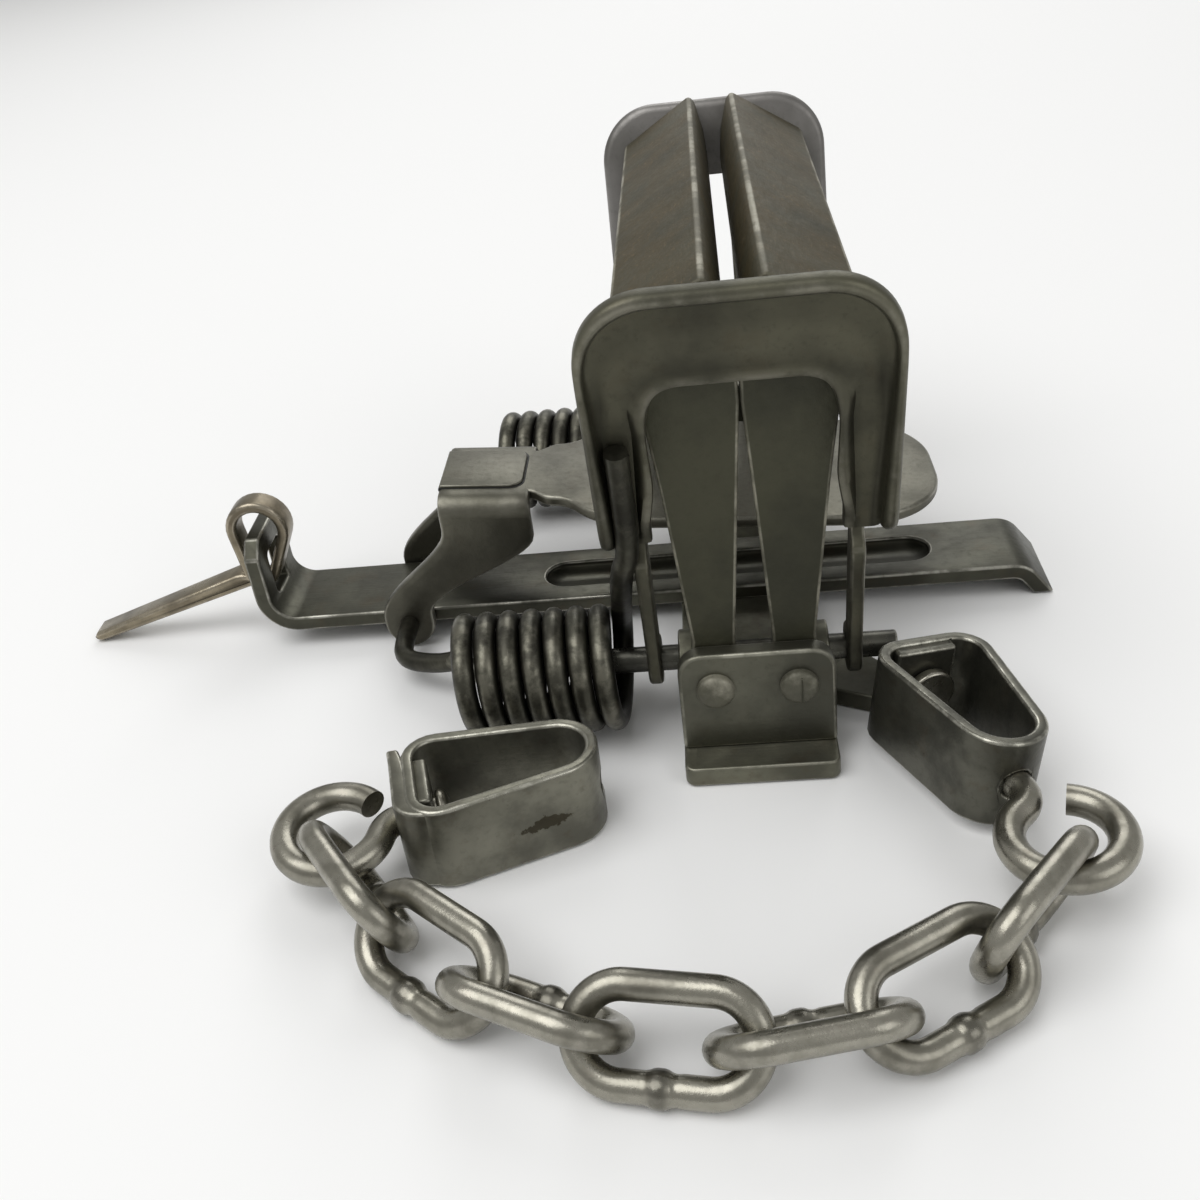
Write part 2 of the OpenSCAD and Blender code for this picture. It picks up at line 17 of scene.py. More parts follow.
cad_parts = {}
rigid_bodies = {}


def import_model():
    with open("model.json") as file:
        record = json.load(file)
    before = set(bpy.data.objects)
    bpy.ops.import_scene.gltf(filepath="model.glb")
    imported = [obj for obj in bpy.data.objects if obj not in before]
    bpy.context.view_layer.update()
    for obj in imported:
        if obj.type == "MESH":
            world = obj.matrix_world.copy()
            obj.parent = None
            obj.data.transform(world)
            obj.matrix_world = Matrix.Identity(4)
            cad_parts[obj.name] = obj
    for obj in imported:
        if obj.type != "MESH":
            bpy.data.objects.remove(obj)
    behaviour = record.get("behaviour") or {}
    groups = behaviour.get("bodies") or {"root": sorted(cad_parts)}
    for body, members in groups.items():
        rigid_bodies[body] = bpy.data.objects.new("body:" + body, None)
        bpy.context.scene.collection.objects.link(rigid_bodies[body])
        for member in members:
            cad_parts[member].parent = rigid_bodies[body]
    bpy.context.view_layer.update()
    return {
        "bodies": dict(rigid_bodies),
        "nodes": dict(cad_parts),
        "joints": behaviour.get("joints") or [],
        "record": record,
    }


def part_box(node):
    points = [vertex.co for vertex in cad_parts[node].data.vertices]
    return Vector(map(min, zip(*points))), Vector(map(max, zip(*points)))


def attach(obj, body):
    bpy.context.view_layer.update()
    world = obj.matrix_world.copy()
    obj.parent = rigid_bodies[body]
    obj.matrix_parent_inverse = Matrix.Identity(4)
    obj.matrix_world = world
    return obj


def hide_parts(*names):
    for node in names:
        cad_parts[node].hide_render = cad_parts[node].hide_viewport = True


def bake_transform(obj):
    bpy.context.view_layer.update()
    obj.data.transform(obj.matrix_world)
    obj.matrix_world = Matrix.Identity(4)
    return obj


LOG = logging.getLogger("foothold_trap")
MM = 0.001
QUARTER = pi / 2.0
ALONG_X = (1.0, 0.0, 0.0)
ALONG_Y = (0.0, 1.0, 0.0)
UPRIGHT = (0.0, 0.0, 1.0)
ORIGIN = (0.0, 0.0, 0.0)
EVEN = (1.0, 1.0, 1.0)

# Places that several pieces share
POST_IN = 46.0
POST_FACE = 49.0
AXLE_Y = 36.0
AXLE_Z = 11.2
LEVER_LEAN = radians(13.2)
PAN_X = -60.0
PAN_Z = 4.8

# Colours and sizes of the marks on all steel
FLECK_TONE = (0.24, 0.16, 0.07)
# The stain colour also paints the shadow round the base strap's nose hole
STAIN_AND_SHADE_TONE = (0.042, 0.034, 0.019)
SPECK_SIZE = 1.1
FINE_SIZE = 0.35

# How pieces are rounded and shaded
BEVEL_STEPS = 4
MERGE = 0.002
FLAT_ANGLE = radians(0.6)
SHARP_EDGE = radians(32.0)
SMOOTH_FLAT = radians(40.0)
SMOOTH_ROUND = radians(50.0)

Colour = tuple[float, float, float]
Point = tuple[float, float, float]
Pair = tuple[float, float]
Outline = Sequence[Pair]
Piece = bpy.types.Object
Value = Union["Sock", float]


class Grain(Enum):
    """How the bare steel of a piece was made."""

    CAST = "cast"
    ROLLED = "rolled"
    STAMPED = "stamped"
    DRAWN = "drawn"


# Node trees


def maths(operation: str, swapped: bool = False) -> Callable[["Sock", Value], "Sock"]:
    """Makes an operator of Sock, which adds one Math node.

    Args:
        operation: The node's operation.
        swapped: Whether the other value comes first.

    Returns:
        The method.
    """

    def method(self: "Sock", other: Value) -> "Sock":
        """Adds the node and gives its value."""
        values = (other, self) if swapped else (self, other)
        return self.owner.node("ShaderNodeMath", {"operation": operation}, dict(enumerate(values)))

    return method


class Sock:
    """An output socket that adds Math nodes when it is used in an expression."""

    def __init__(self, owner: "NodeTree", socket: Optional[bpy.types.NodeSocket]) -> None:
        """Wraps one socket of a tree; a node that ends the tree has none."""
        self.owner = owner
        self.socket = socket

    __add__ = __radd__ = maths("ADD")
    __sub__ = maths("SUBTRACT")
    __rsub__ = maths("SUBTRACT", True)
    __mul__ = __rmul__ = maths("MULTIPLY")
    at_most = maths("MINIMUM")
    at_least = maths("MAXIMUM")

    def sister(self, name: str) -> "Sock":
        """Another output of the same node."""
        return Sock(self.owner, self.socket.node.outputs[name])

    def length(self) -> "Sock":
        """The length of a vector."""
        return self.owner.node("ShaderNodeVectorMath", {"operation": "LENGTH"}, {0: self}, "Value")

    def ease(self, low: float, high: float) -> "Sock":
        """A smooth step from 0 at low to 1 at high."""
        inputs = {"Value": self, "From Min": low, "From Max": high}
        return self.owner.node("ShaderNodeMapRange", {"interpolation_type": "SMOOTHSTEP"}, inputs)


class NodeTree:
    """A node tree with the one method that makes its nodes."""

    def __init__(self, tree: bpy.types.NodeTree) -> None:
        """Keeps the tree."""
        self.tree = tree

    def node(
        self,
        kind: str,
        settings: Optional[dict[str, Any]] = None,
        inputs: Optional[dict[Union[str, int], Any]] = None,
        out: Union[str, int] = 0,
    ) -> Sock:
        """Adds any node.

        Args:
            kind: The node's type.
            settings: Its own settings.
            inputs: Values or links of its sockets, by name or number.
            out: The output that is returned.

        Returns:
            The chosen output.
        """
        node = self.tree.nodes.new(kind)
        for key, value in (settings or {}).items():
            setattr(node, key, value)
        for key, value in (inputs or {}).items():
            if isinstance(value, Sock):
                self.tree.links.new(value.socket, node.inputs[key])
            else:
                node.inputs[key].default_value = value
        return Sock(self, node.outputs[out] if node.outputs else None)


class Recipe(NodeTree):
    """One material's node tree."""

    def __init__(self, name: str) -> None:
        """Starts an empty material.

        Args:
            name: The material's name.
        """
        self.material = bpy.data.materials.new(name)
        self.material.use_nodes = True
        super().__init__(self.material.node_tree)
        self.tree.nodes.clear()

    def place(self, scale: Point = EVEN, shift: Point = ORIGIN) -> Sock:
        """The piece's own coordinates, stretched by scale and then shifted."""
        coords, size = self.node("ShaderNodeTexCoord", out="Object"), tuple(s / MM for s in scale)
        return self.node("ShaderNodeMapping", None, {"Vector": coords, "Location": shift, "Scale": size})

    def near(self, centre: Point, reach: Point) -> Sock:
        """How near a spot is: 1 at its centre, 0 beyond its reach along X, Y and Z."""
        shift = tuple(-c / r for c, r in zip(centre, reach))
        return 1.0 - self.place(tuple(1.0 / r for r in reach), shift).length().ease(0.0, 1.0)

    def noise(self, size: float, detail: float, scale: Point = EVEN, rough: float = 0.55) -> Sock:
        """Noise about 0.5, with patches of a size; rough is the weight of the finer layers."""
        inputs = {"Vector": self.place(scale), "Scale": 1.0 / size, "Detail": detail, "Roughness": rough}
        return self.node("ShaderNodeTexNoise", None, inputs)

    def attribute(self, name: str) -> Sock:
        """A number stored on the mesh."""
        return self.node("ShaderNodeAttribute", {"attribute_name": name}, out="Fac")

    def mix(self, factor: Value, first: Union[Sock, Colour], second: Colour) -> Sock:
        """Mixes two colours: a factor of 0 gives the first, 1 the second."""
        inputs = {0: factor, 6: first if isinstance(first, Sock) else (*first, 1.0), 7: (*second, 1.0)}
        return self.node("ShaderNodeMix", {"data_type": "RGBA"}, inputs, 2)

    def bump(self, height: Sock, depth: float, under: Optional[Sock] = None) -> Sock:
        """Turns a height of 0 to 1 into a normal: depth is how deep 1 is, under a bump that it lies on."""
        base = {} if under is None else {"Normal": under}
        return self.node("ShaderNodeBump", None, {"Distance": depth * MM, "Height": height, **base})

    def finish(self, inputs: dict[str, Any]) -> bpy.types.Material:
        """Closes the material with its shader.

        Args:
            inputs: Values or links of the shader's sockets.

        Returns:
            The material.
        """
        shader = self.node("ShaderNodeBsdfPrincipled", None, inputs)
        self.node("ShaderNodeOutputMaterial", None, {"Surface": shader})
        return self.material


class TubeTree(NodeTree):
    """A Geometry Nodes tree that runs a round wire along the points of a piece."""

    def __init__(self) -> None:
        """Builds the tree once; pieces share it."""
        super().__init__(bpy.data.node_groups.new("wire_along_path", "GeometryNodeTree"))
        face = self.tree.interface
        for way in ("INPUT", "OUTPUT"):
            face.new_socket("Geometry", in_out=way, socket_type="NodeSocketGeometry")
        self.ids: dict[str, str] = {}
        for name, kind in (("Radius", "NodeSocketFloat"), ("Sides", "NodeSocketInt")):
            self.ids[name] = face.new_socket(name, in_out="INPUT", socket_type=kind).identifier
        given = self.node("NodeGroupInput", out="Geometry")
        path = self.node("GeometryNodeMeshToCurve", None, {"Mesh": given})
        swell = self.node("GeometryNodeInputNamedAttribute", None, {"Name": "swell"}, "Attribute")
        ring = {"Resolution": given.sister("Sides"), "Radius": given.sister("Radius")}
        profile = self.node("GeometryNodeCurvePrimitiveCircle", None, ring)
        inputs = {"Curve": path, "Profile Curve": profile, "Scale": swell, "Fill Caps": True}
        wire = self.node("GeometryNodeCurveToMesh", None, inputs)
        smooth_wire = self.node("GeometryNodeSetShadeSmooth", None, {"Geometry": wire})
        self.node("NodeGroupOutput", None, {"Geometry": smooth_wire})

    def sweep(self, path: Sequence[Vector], radius: float, sides: int,
              swell: Optional[Sequence[float]] = None) -> Piece:
        """Makes a wire piece.

        Args:
            path: The wire's middle line.
            radius: The wire's radius.
            sides: Faces round the wire.
            swell: The thickness of a closed wire at each point, 1 where it is plain; None for an open wire.

        Returns:
            The piece, a plain mesh with no modifier.
        """
        mesh = bpy.data.meshes.new("path")
        edges = [(i, i + 1) for i in range(len(path) - 1)]
        if swell is not None:
            edges.append((len(path) - 1, 0))
        mesh.from_pydata([tuple(p * MM) for p in path], edges, [])
        grow = mesh.attributes.new("swell", "FLOAT", "POINT")
        grow.data.foreach_set("value", swell or [1.0] * len(path))
        holder = bpy.data.objects.new("wire", mesh)
        bpy.context.scene.collection.objects.link(holder)
        modifier = holder.modifiers.new("wire", "NODES")
        modifier.node_group = self.tree
        modifier[self.ids["Radius"]] = radius * MM
        modifier[self.ids["Sides"]] = sides
        graph = bpy.context.evaluated_depsgraph_get()
        plain = bpy.data.meshes.new_from_object(holder.evaluated_get(graph))
        holder.modifiers.remove(modifier)
        holder.data = plain
        plain.set_sharp_from_angle(angle=SMOOTH_ROUND)
        return holder


# Finishes


@dataclass(frozen=True)
class OilySteel:
    """Bare steel under a film of oil: blotches, grain, worn edges with painted highlights, grime and
    painted shade in corners and a little rust.
    """

    name: str
    slot: str
    tone: Colour
    dark: Colour
    bright: Colour
    grain: Grain
    rough: float = 0.42
    metallic: float = 0.85
    blotch: float = 14.0
    wear_and_sheen: float = 0.8
    rust: float = 0.25
    grit: float = 0.5
    rust_tone: Colour = (0.07, 0.045, 0.022)
    speckle: float = 0.35
    flecks: float = 0.0
    rust_at: Pair = (0.52, 0.72)
    rust_near: Optional[tuple[Point, Point]] = None
    stain_and_shade: Optional[tuple[Point, Point]] = None

    def material(self) -> bpy.types.Material:
        """Builds the finish: steel, rust, grime and painted shade, rubbed edges and painted highlights, and
        a stain, which on the base strap is the painted shadow of its nose hole, one over the other.

        Returns:
            The material.
        """
        recipe = Recipe(self.name)
        blotch = recipe.noise(self.blotch, 4.0)
        speck = recipe.noise(SPECK_SIZE, 3.0, rough=0.65)
        fine = recipe.noise(FINE_SIZE, 2.0, rough=0.7)
        patch = recipe.noise(self.blotch * 0.37, 5.0, rough=0.62)
        colour = recipe.mix(blotch.ease(0.36, 0.68), self.tone, self.dark)
        colour = recipe.mix(speck.ease(0.52, 0.74) * self.speckle, colour, self.dark)
        rusty = patch.ease(*self.rust_at)
        if self.rust_near is not None:
            rusty = rusty * recipe.near(*self.rust_near).ease(0.0, 0.4)
        colour = recipe.mix(rusty * self.rust, colour, self.rust_tone)
        if self.flecks > 0.0:
            fleck = recipe.noise(0.5, 2.0, (1.0, 0.5, 1.0)).ease(0.6, 0.68) * rusty
            colour = recipe.mix(fleck * self.flecks, colour, FLECK_TONE)
        # The grime mark darkens real grime on the chain's welds, and paints shade in the levers' creases
        # and shaded side rims, round the pan ear's hole, down the ears and inside the spring coils
        grime_and_shade = (recipe.attribute("grime_and_shade") * (0.45 + 0.5 * patch)).at_most(0.9)
        colour = recipe.mix(grime_and_shade, colour, tuple(c * 0.4 for c in self.dark))
        # The wear mark brightens real rubbed edges, and paints highlights on the outsides of the spring
        # turns and across the bends of the pan's ears
        rub_and_sheen = recipe.attribute("wear_and_sheen") * (0.12 + 1.25 * patch.ease(0.4, 0.7) + 0.3 * speck)
        rub_and_sheen = rub_and_sheen.at_most(1.0) * self.wear_and_sheen
        colour = recipe.mix(rub_and_sheen, colour, self.bright)
        rough = self.rough + 0.26 * (blotch - 0.5) + 0.22 * (speck - 0.5) - 0.1 * rub_and_sheen
        # A dark spot: a real stain on the stake strap, and on the base strap a painted shadow round its
        # nose hole
        if self.stain_and_shade is not None:
            spill_and_shade = recipe.near(*self.stain_and_shade) * 1.1 + 1.5 * (patch - 0.5) + 1.1 * (speck - 0.5)
            spill_and_shade = spill_and_shade.ease(0.45, 0.6)
            colour = recipe.mix(spill_and_shade * 0.8, colour, STAIN_AND_SHADE_TONE)
            rough = rough + 0.25 * spill_and_shade
        rough = rough.at_least(0.16).at_most(0.9)
        normal = self._relief(recipe, speck, fine)
        inputs = {"Base Color": colour, "Roughness": rough, "Normal": normal, "Metallic": self.metallic}
        return recipe.finish(inputs)

    def _relief(self, recipe: Recipe, speck: Sock, fine: Sock) -> Sock:
        """The grain that the making of the piece left.

        Args:
            recipe: The material.
            speck: Noise about a millimetre across.
            fine: Noise below half a millimetre.

        Returns:
            The normal.
        """
        if self.grain is Grain.CAST:
            sand = recipe.bump(recipe.noise(0.9, 2.0, (1.0, 0.35, 1.0), 0.6), 0.09 * self.grit)
            return recipe.bump(recipe.noise(5.0, 2.0, (1.0, 0.6, 1.0)), 0.3 * self.grit, sand)
        if self.grain is Grain.ROLLED:
            line = recipe.noise(0.5, 3.0, (0.06, 1.0, 1.0))
            return recipe.bump(line * 0.5 + speck * 0.5, 0.1 * self.grit)
        if self.grain is Grain.STAMPED:
            dent = recipe.bump(recipe.noise(9.0, 1.0), 0.25 * self.grit)
            return recipe.bump(speck * 0.7 + fine * 0.3, 0.1 * self.grit, dent)
        return recipe.bump(fine * 0.5 + speck * 0.5, 0.07 * self.grit)


JAW_CASTING = OilySteel(
    "jaw_casting", "jaw_iron", (0.054, 0.053, 0.031), (0.032, 0.032, 0.019), (0.34, 0.325, 0.26),
    Grain.CAST, rough=0.58, metallic=0.4, blotch=20.0, wear_and_sheen=0.75, rust=0.85, grit=1.0,
    rust_tone=(0.072, 0.052, 0.02), speckle=0.15, flecks=0.3, rust_at=(0.12, 0.82),
    rust_near=((0.0, 0.0, 78.0), (60.0, 90.0, 22.0)),
)
# Both levers are one stamping: the front lever's copy is darker, painted shade for its face that looks
# forward and down
SHADED_FRONT_LEVER = OilySteel(
    "front_lever_shaded", "dark_steel", (0.11, 0.106, 0.075), (0.062, 0.06, 0.044), (0.26, 0.25, 0.205),
    Grain.STAMPED, rough=0.46, blotch=16.0, wear_and_sheen=0.6, rust=0.15,
)
# The lit copy of the lever stamping: the rear lever's inner face is painted lighter because it faces up
# into the light
LIT_REAR_LEVER = OilySteel(
    "rear_lever_lit", "dark_steel", (0.225, 0.216, 0.205), (0.135, 0.13, 0.12), (0.38, 0.37, 0.37),
    Grain.STAMPED, rough=0.46, blotch=18.0, wear_and_sheen=0.5, rust=0.1,
)
# The posts are the base strip's steel, given a darker tone as painted shade on their upright faces
SHADED_POST_PLATE = OilySteel(
    "post_plate_shaded", "dark_steel", (0.14, 0.138, 0.106), (0.08, 0.079, 0.062), (0.42, 0.41, 0.34),
    Grain.ROLLED, blotch=18.0, rust=0.12,
)
BASE_STRIP = OilySteel(
    "base_strip", "dark_steel", (0.19, 0.187, 0.14), (0.1, 0.098, 0.075), (0.36, 0.35, 0.29), Grain.ROLLED,
    rough=0.44, wear_and_sheen=0.6,
)
AXLE_ROD = OilySteel(
    "axle_rod", "dark_steel", (0.12, 0.118, 0.098), (0.05, 0.049, 0.042), (0.36, 0.35, 0.31), Grain.DRAWN,
    rough=0.3, blotch=8.0, rust=0.12, speckle=0.15,
)
COIL_WIRE = OilySteel(
    "coil_wire", "spring_wire", (0.045, 0.044, 0.033), (0.02, 0.019, 0.015), (0.26, 0.25, 0.2), Grain.DRAWN,
    blotch=9.0, wear_and_sheen=0.5, rust=0.15, speckle=0.1,
)
PAN_STAMPING = OilySteel(
    "pan_stamping", "pan_steel", (0.132, 0.127, 0.099), (0.072, 0.069, 0.053), (0.36, 0.35, 0.3),
    Grain.STAMPED, rough=0.4, blotch=18.0, wear_and_sheen=0.6, rust=0.15,
)
# A near-black plate under the pan's pad that paints the shadow in the seam round the pad
SEAM_SHADOW = OilySteel(
    "seam_shadow_paint", "pan_steel", (0.012, 0.012, 0.01), (0.008, 0.008, 0.007), (0.02, 0.02, 0.018), Grain.ROLLED,
    rough=0.6, metallic=0.2, wear_and_sheen=0.0, rust=0.0,
)
BAR_STRIP = OilySteel(
    "bar_strip", "pan_steel", (0.086, 0.085, 0.064), (0.042, 0.041, 0.031), (0.42, 0.41, 0.36),
    Grain.ROLLED, rough=0.4, blotch=18.0,
)
DOG_STRIP = OilySteel(
    "dog_strip", "dog_steel", (0.27, 0.232, 0.165), (0.13, 0.11, 0.077), (0.5, 0.45, 0.36), Grain.ROLLED,
    rough=0.32, blotch=8.0, wear_and_sheen=0.5, rust=0.2,
)
CHAIN_WIRE = OilySteel(
    "chain_wire", "chain_steel", (0.31, 0.297, 0.25), (0.17, 0.162, 0.132), (0.52, 0.5, 0.44), Grain.DRAWN,
    rough=0.31, metallic=0.95, blotch=7.0, wear_and_sheen=0.45, rust=0.35, speckle=0.2,
)
# The base strap's dark spot round its nose hole is a painted shadow that makes the hole look larger
STRAP_STEEL = OilySteel(
    "strap_steel", "chain_steel", (0.125, 0.123, 0.1), (0.058, 0.057, 0.046), (0.46, 0.45, 0.39),
    Grain.ROLLED, rough=0.36, blotch=8.0, wear_and_sheen=0.85, stain_and_shade=((33.6, -67.0, 8.2), (3.6, 3.6, 3.6)),
)
STAINED_STRAP = OilySteel(
    "stained_strap", "chain_steel", (0.215, 0.21, 0.168), (0.115, 0.112, 0.09), (0.46, 0.45, 0.39),
    Grain.ROLLED, rough=0.36, blotch=8.0, wear_and_sheen=0.85, stain_and_shade=((-30.5, -67.5, 6.4), (6.5, 6.5, 2.3)),
)

# Outlines and paths


@dataclass
class Spot:
    """A point of a skin: its place, its wear and painted highlight, and its grime and painted shade."""

    place: Vector
    wear_and_sheen: float = 0.0
    grime_and_shade: float = 0.0


def smooth(value: float, start: float = 0.0, length: float = 1.0) -> float:
    """Eases from 0 at the start to 1 a length further on; a length below 0 runs backwards."""
    k = min(1.0, max(0.0, (value - start) / length))
    return k * k * (3.0 - 2.0 * k)


def frame_of(middle: Sequence[float], x: Sequence[float], y: Sequence[float], z: Sequence[float]) -> Matrix:
    """The matrix with these axes and this middle."""
    return Matrix.Translation(middle) @ Matrix((x, y, z)).transposed().to_4x4()


def arc(x: float, y: float, radius: float, start: float, end: float, steps: int) -> list[Pair]:
    """Points along an arc round a middle, with both its ends; its angles are in radians."""
    angles = [start + (end - start) * i / steps for i in range(steps + 1)]
    return [(x + radius * cos(a), y + radius * sin(a)) for a in angles]


def lifted(outline: Outline) -> list[Vector]:
    """The points of a flat outline in space."""
    return [Vector((x, y, 0.0)) for x, y in outline]


def unit_at(angle: float) -> Vector:
    """The flat direction at an angle from X, in degrees."""
    return Vector((cos(radians(angle)), sin(radians(angle)), 0.0))


def turned_by(angle: float, axis: str) -> Matrix:
    """A turn about an axis, in degrees."""
    return Matrix.Rotation(radians(angle), 4, axis)


def rounded_corners(points: Sequence[Vector], rounds: int = 4) -> list[Vector]:
    """Cuts the corners of a path again and again, with its two ends kept.

    Args:
        points: The path.
        rounds: How often the corners are cut.

    Returns:
        The smoother path.
    """
    path = list(points)
    for _ in range(rounds):
        cut = [path[0]]
        for a, b in zip(path, path[1:]):
            cut += [a * 0.75 + b * 0.25, a * 0.25 + b * 0.75]
        path = cut + [path[-1]]
    return path


def lever_axes(side: float) -> tuple[Point, Point, Point]:
    """A lever's axle, the way up it and the way out of it; side is 1 at the front, -1 at the rear."""
    sine, cosine = sin(LEVER_LEAN), cos(LEVER_LEAN)
    return (0.0, -AXLE_Y * side, AXLE_Z), (0.0, -sine * side, cosine), (0.0, -cosine * side, -sine)


# Meshes


class Workshop:
    """Makes pieces, rounds their edges and hands them to the frame."""

    def __init__(self, frame: dict[str, Any]) -> None:
        """Keeps the loaded frame.
        """
        self.nodes: dict[str, Piece] = frame["nodes"]
        self.body_of: dict[str, str] = {}
        for body, members in frame["record"]["behaviour"]["bodies"].items():
            for node in members:
                self.body_of[node] = body
        self.materials: dict[str, bpy.types.Material] = {}
        self.tubes = TubeTree()

    def coat(self, piece: Piece, name: str, finish: OilySteel) -> None:
        """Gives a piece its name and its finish.

        Args:
            piece: The piece.
            name: Its name.
            finish: The finish, whose material is made once.
        """
        piece.name = piece.data.name = name
        if finish.name not in self.materials:
            self.materials[finish.name] = finish.material()
        piece.data.materials.clear()
        piece.data.materials.append(self.materials[finish.name])
        LOG.info("%s: %d faces, %s", name, len(piece.data.polygons), finish.name)

    def hand_over(self, piece: Piece, node: str, made: str, finish: OilySteel) -> None:
        """Rides a piece on its node's body, lets it stand for the node and coats it.

        Args:
            piece: The piece.
            node: The CAD node.
            made: How it was made, which ends its name.
            finish: The piece's finish.
        """
        self.coat(piece, f"{node}_{made}", finish)
        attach(piece, self.body_of[node])
        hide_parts(node)

    @staticmethod
    def new_piece(shape: bmesh.types.BMesh, angle: float = SMOOTH_FLAT) -> Piece:
        """Turns a bmesh into an object at the origin.

        Args:
            shape: The bmesh, which is freed.
            angle: Edges under this angle are shaded smooth, in radians.

        Returns:
            The object.
        """
        bmesh.ops.triangulate(shape, faces=[face for face in shape.faces if len(face.verts) > 4])
        mesh = bpy.data.meshes.new("piece")
        shape.to_mesh(mesh)
        shape.free()
        piece = bpy.data.objects.new("piece", mesh)
        bpy.context.scene.collection.objects.link(piece)
        mesh.polygons.foreach_set("use_smooth", [True] * len(mesh.polygons))
        mesh.set_sharp_from_angle(angle=angle)
        return piece

    @staticmethod
    def mark(piece: Piece, name: str, rule: Callable[[Vector], float]) -> None:
        """Raises a number stored on each point of a piece to at least what a rule gives, and 1 at most.

        Args:
            piece: The piece.
            name: The attribute's name.
            rule: Gives the number from the point.
        """
        mesh = piece.data
        layer = mesh.attributes.get(name) or mesh.attributes.new(name, "FLOAT", "POINT")
        was = [item.value for item in layer.data]
        values = [min(1.0, max(old, rule(v.co / MM))) for old, v in zip(was, mesh.vertices)]
        layer.data.foreach_set("value", values)

    @staticmethod
    def join(piece: Piece, others: Sequence[Piece]) -> Piece:
        """Adds the meshes of other pieces to a piece and deletes them.

        Args:
            piece: The piece that stays.
            others: The pieces that are added.

        Returns:
            The piece.
        """
        shape = bmesh.new()
        for part in (piece, *others):
            shape.from_mesh(part.data)
        shape.to_mesh(piece.data)
        shape.free()
        for other in others:
            bpy.data.objects.remove(other, do_unlink=True)
        return piece

    def turned(self, profile: Outline, place: Matrix, sides: int = 40) -> Piece:
        """Turns a profile round the local X axis.

        Args:
            profile: Places along X and radii; both ends are on the axis.
            place: Where the local axes are.
            sides: Faces round the axis.

        Returns:
            The closed piece.
        """
        shape = bmesh.new()
        verts = [shape.verts.new((x, r, 0.0)) for x, r in profile]
        edges = [shape.edges.new(pair) for pair in zip(verts, verts[1:])]
        bmesh.ops.spin(shape, geom=verts + edges, axis=ALONG_X, cent=ORIGIN,
                       angle=2.0 * pi, steps=sides, use_merge=True)
        bmesh.ops.remove_doubles(shape, verts=shape.verts, dist=MERGE)
        shape.transform(Matrix.Scale(MM, 4) @ place)
        bmesh.ops.recalc_face_normals(shape, faces=shape.faces)
        return self.new_piece(shape, SMOOTH_ROUND)

    def prism(self, outline: Outline, ends: Pair, place: Matrix, edge: float) -> Piece:
        """Draws an outline out along local Z between two ends and rounds its edges."""
        shape = self._solid([[(u, v, w) for u, v in outline] for w in ends], place)
        return self._rounded(shape, edge)

    def skin(self, rings: Sequence[Sequence[Spot]]) -> Piece:
        """Joins closed rings of spots into one closed piece.

        Args:
            rings: The rings in order, all with the same number of spots.

        Returns:
            The piece, with its wear and sheen and its grime and shade stored on its points.
        """
        piece = self.new_piece(self._solid([[spot.place for spot in ring] for ring in rings], Matrix()))
        spots = [spot for ring in rings for spot in ring]
        for name in ("wear_and_sheen", "grime_and_shade"):
            layer = piece.data.attributes.new(name, "FLOAT", "POINT")
            layer.data.foreach_set("value", [getattr(spot, name) for spot in spots])
        return piece

    def soften(self, node: str, edge: float) -> Piece:
        """Copies a CAD node and rounds its edges.

        Args:
            node: The CAD node.
            edge: The rounding of outer edges.

        Returns:
            The new piece, with the attribute wear on its edges.
        """
        shape = bmesh.new()
        shape.from_mesh(self.nodes[node].data)
        bmesh.ops.remove_doubles(shape, verts=shape.verts, dist=MERGE * MM)
        bmesh.ops.dissolve_limit(shape, angle_limit=FLAT_ANGLE, verts=shape.verts, edges=shape.edges)
        return self._rounded(shape, edge)

    @staticmethod
    def _solid(rings: Sequence[Sequence[Point]], place: Matrix) -> bmesh.types.BMesh:
        """Closes rings of points with faces.

        Args:
            rings: The rings.
            place: Where the local axes are.

        Returns:
            The closed shape.
        """
        shape = bmesh.new()
        rows = [[shape.verts.new(point) for point in ring] for ring in rings]
        for a, b in zip(rows, rows[1:]):
            for i in range(len(a)):
                shape.faces.new((a[i - 1], a[i], b[i], b[i - 1]))
        for row in (rows[0], rows[-1]):
            shape.faces.new(row)
        shape.transform(Matrix.Scale(MM, 4) @ place)
        bmesh.ops.recalc_face_normals(shape, faces=shape.faces)
        return shape

    def _rounded(self, shape: bmesh.types.BMesh, edge: float) -> Piece:
        """Bevels the outer edges of a shape and makes a piece of it.

        Args:
            shape: The shape.
            edge: The bevel's width.

        Returns:
            The piece, with the attribute wear on the bevels.
        """
        wear_and_sheen = shape.verts.layers.float.new("wear_and_sheen")
        shape.verts.layers.float.new("grime_and_shade")
        sharp = [e for e in shape.edges if e.is_manifold and e.calc_face_angle_signed(0.0) > SHARP_EDGE]
        made = bmesh.ops.bevel(
            shape, geom=sharp, offset=edge * MM, offset_type="OFFSET", segments=BEVEL_STEPS, profile=0.5,
            affect="EDGES", clamp_overlap=False, loop_slide=True,
        )
        faces = set(made["faces"])
        for vert in made["verts"]:
            if vert.is_valid and all(face in faces for face in vert.link_faces):
                vert[wear_and_sheen] = 1.0
        return self.new_piece(shape)


# Sub-assemblies


@dataclass
class Assembly:
    """A group of pieces that are made in a workshop."""

    shop: Workshop


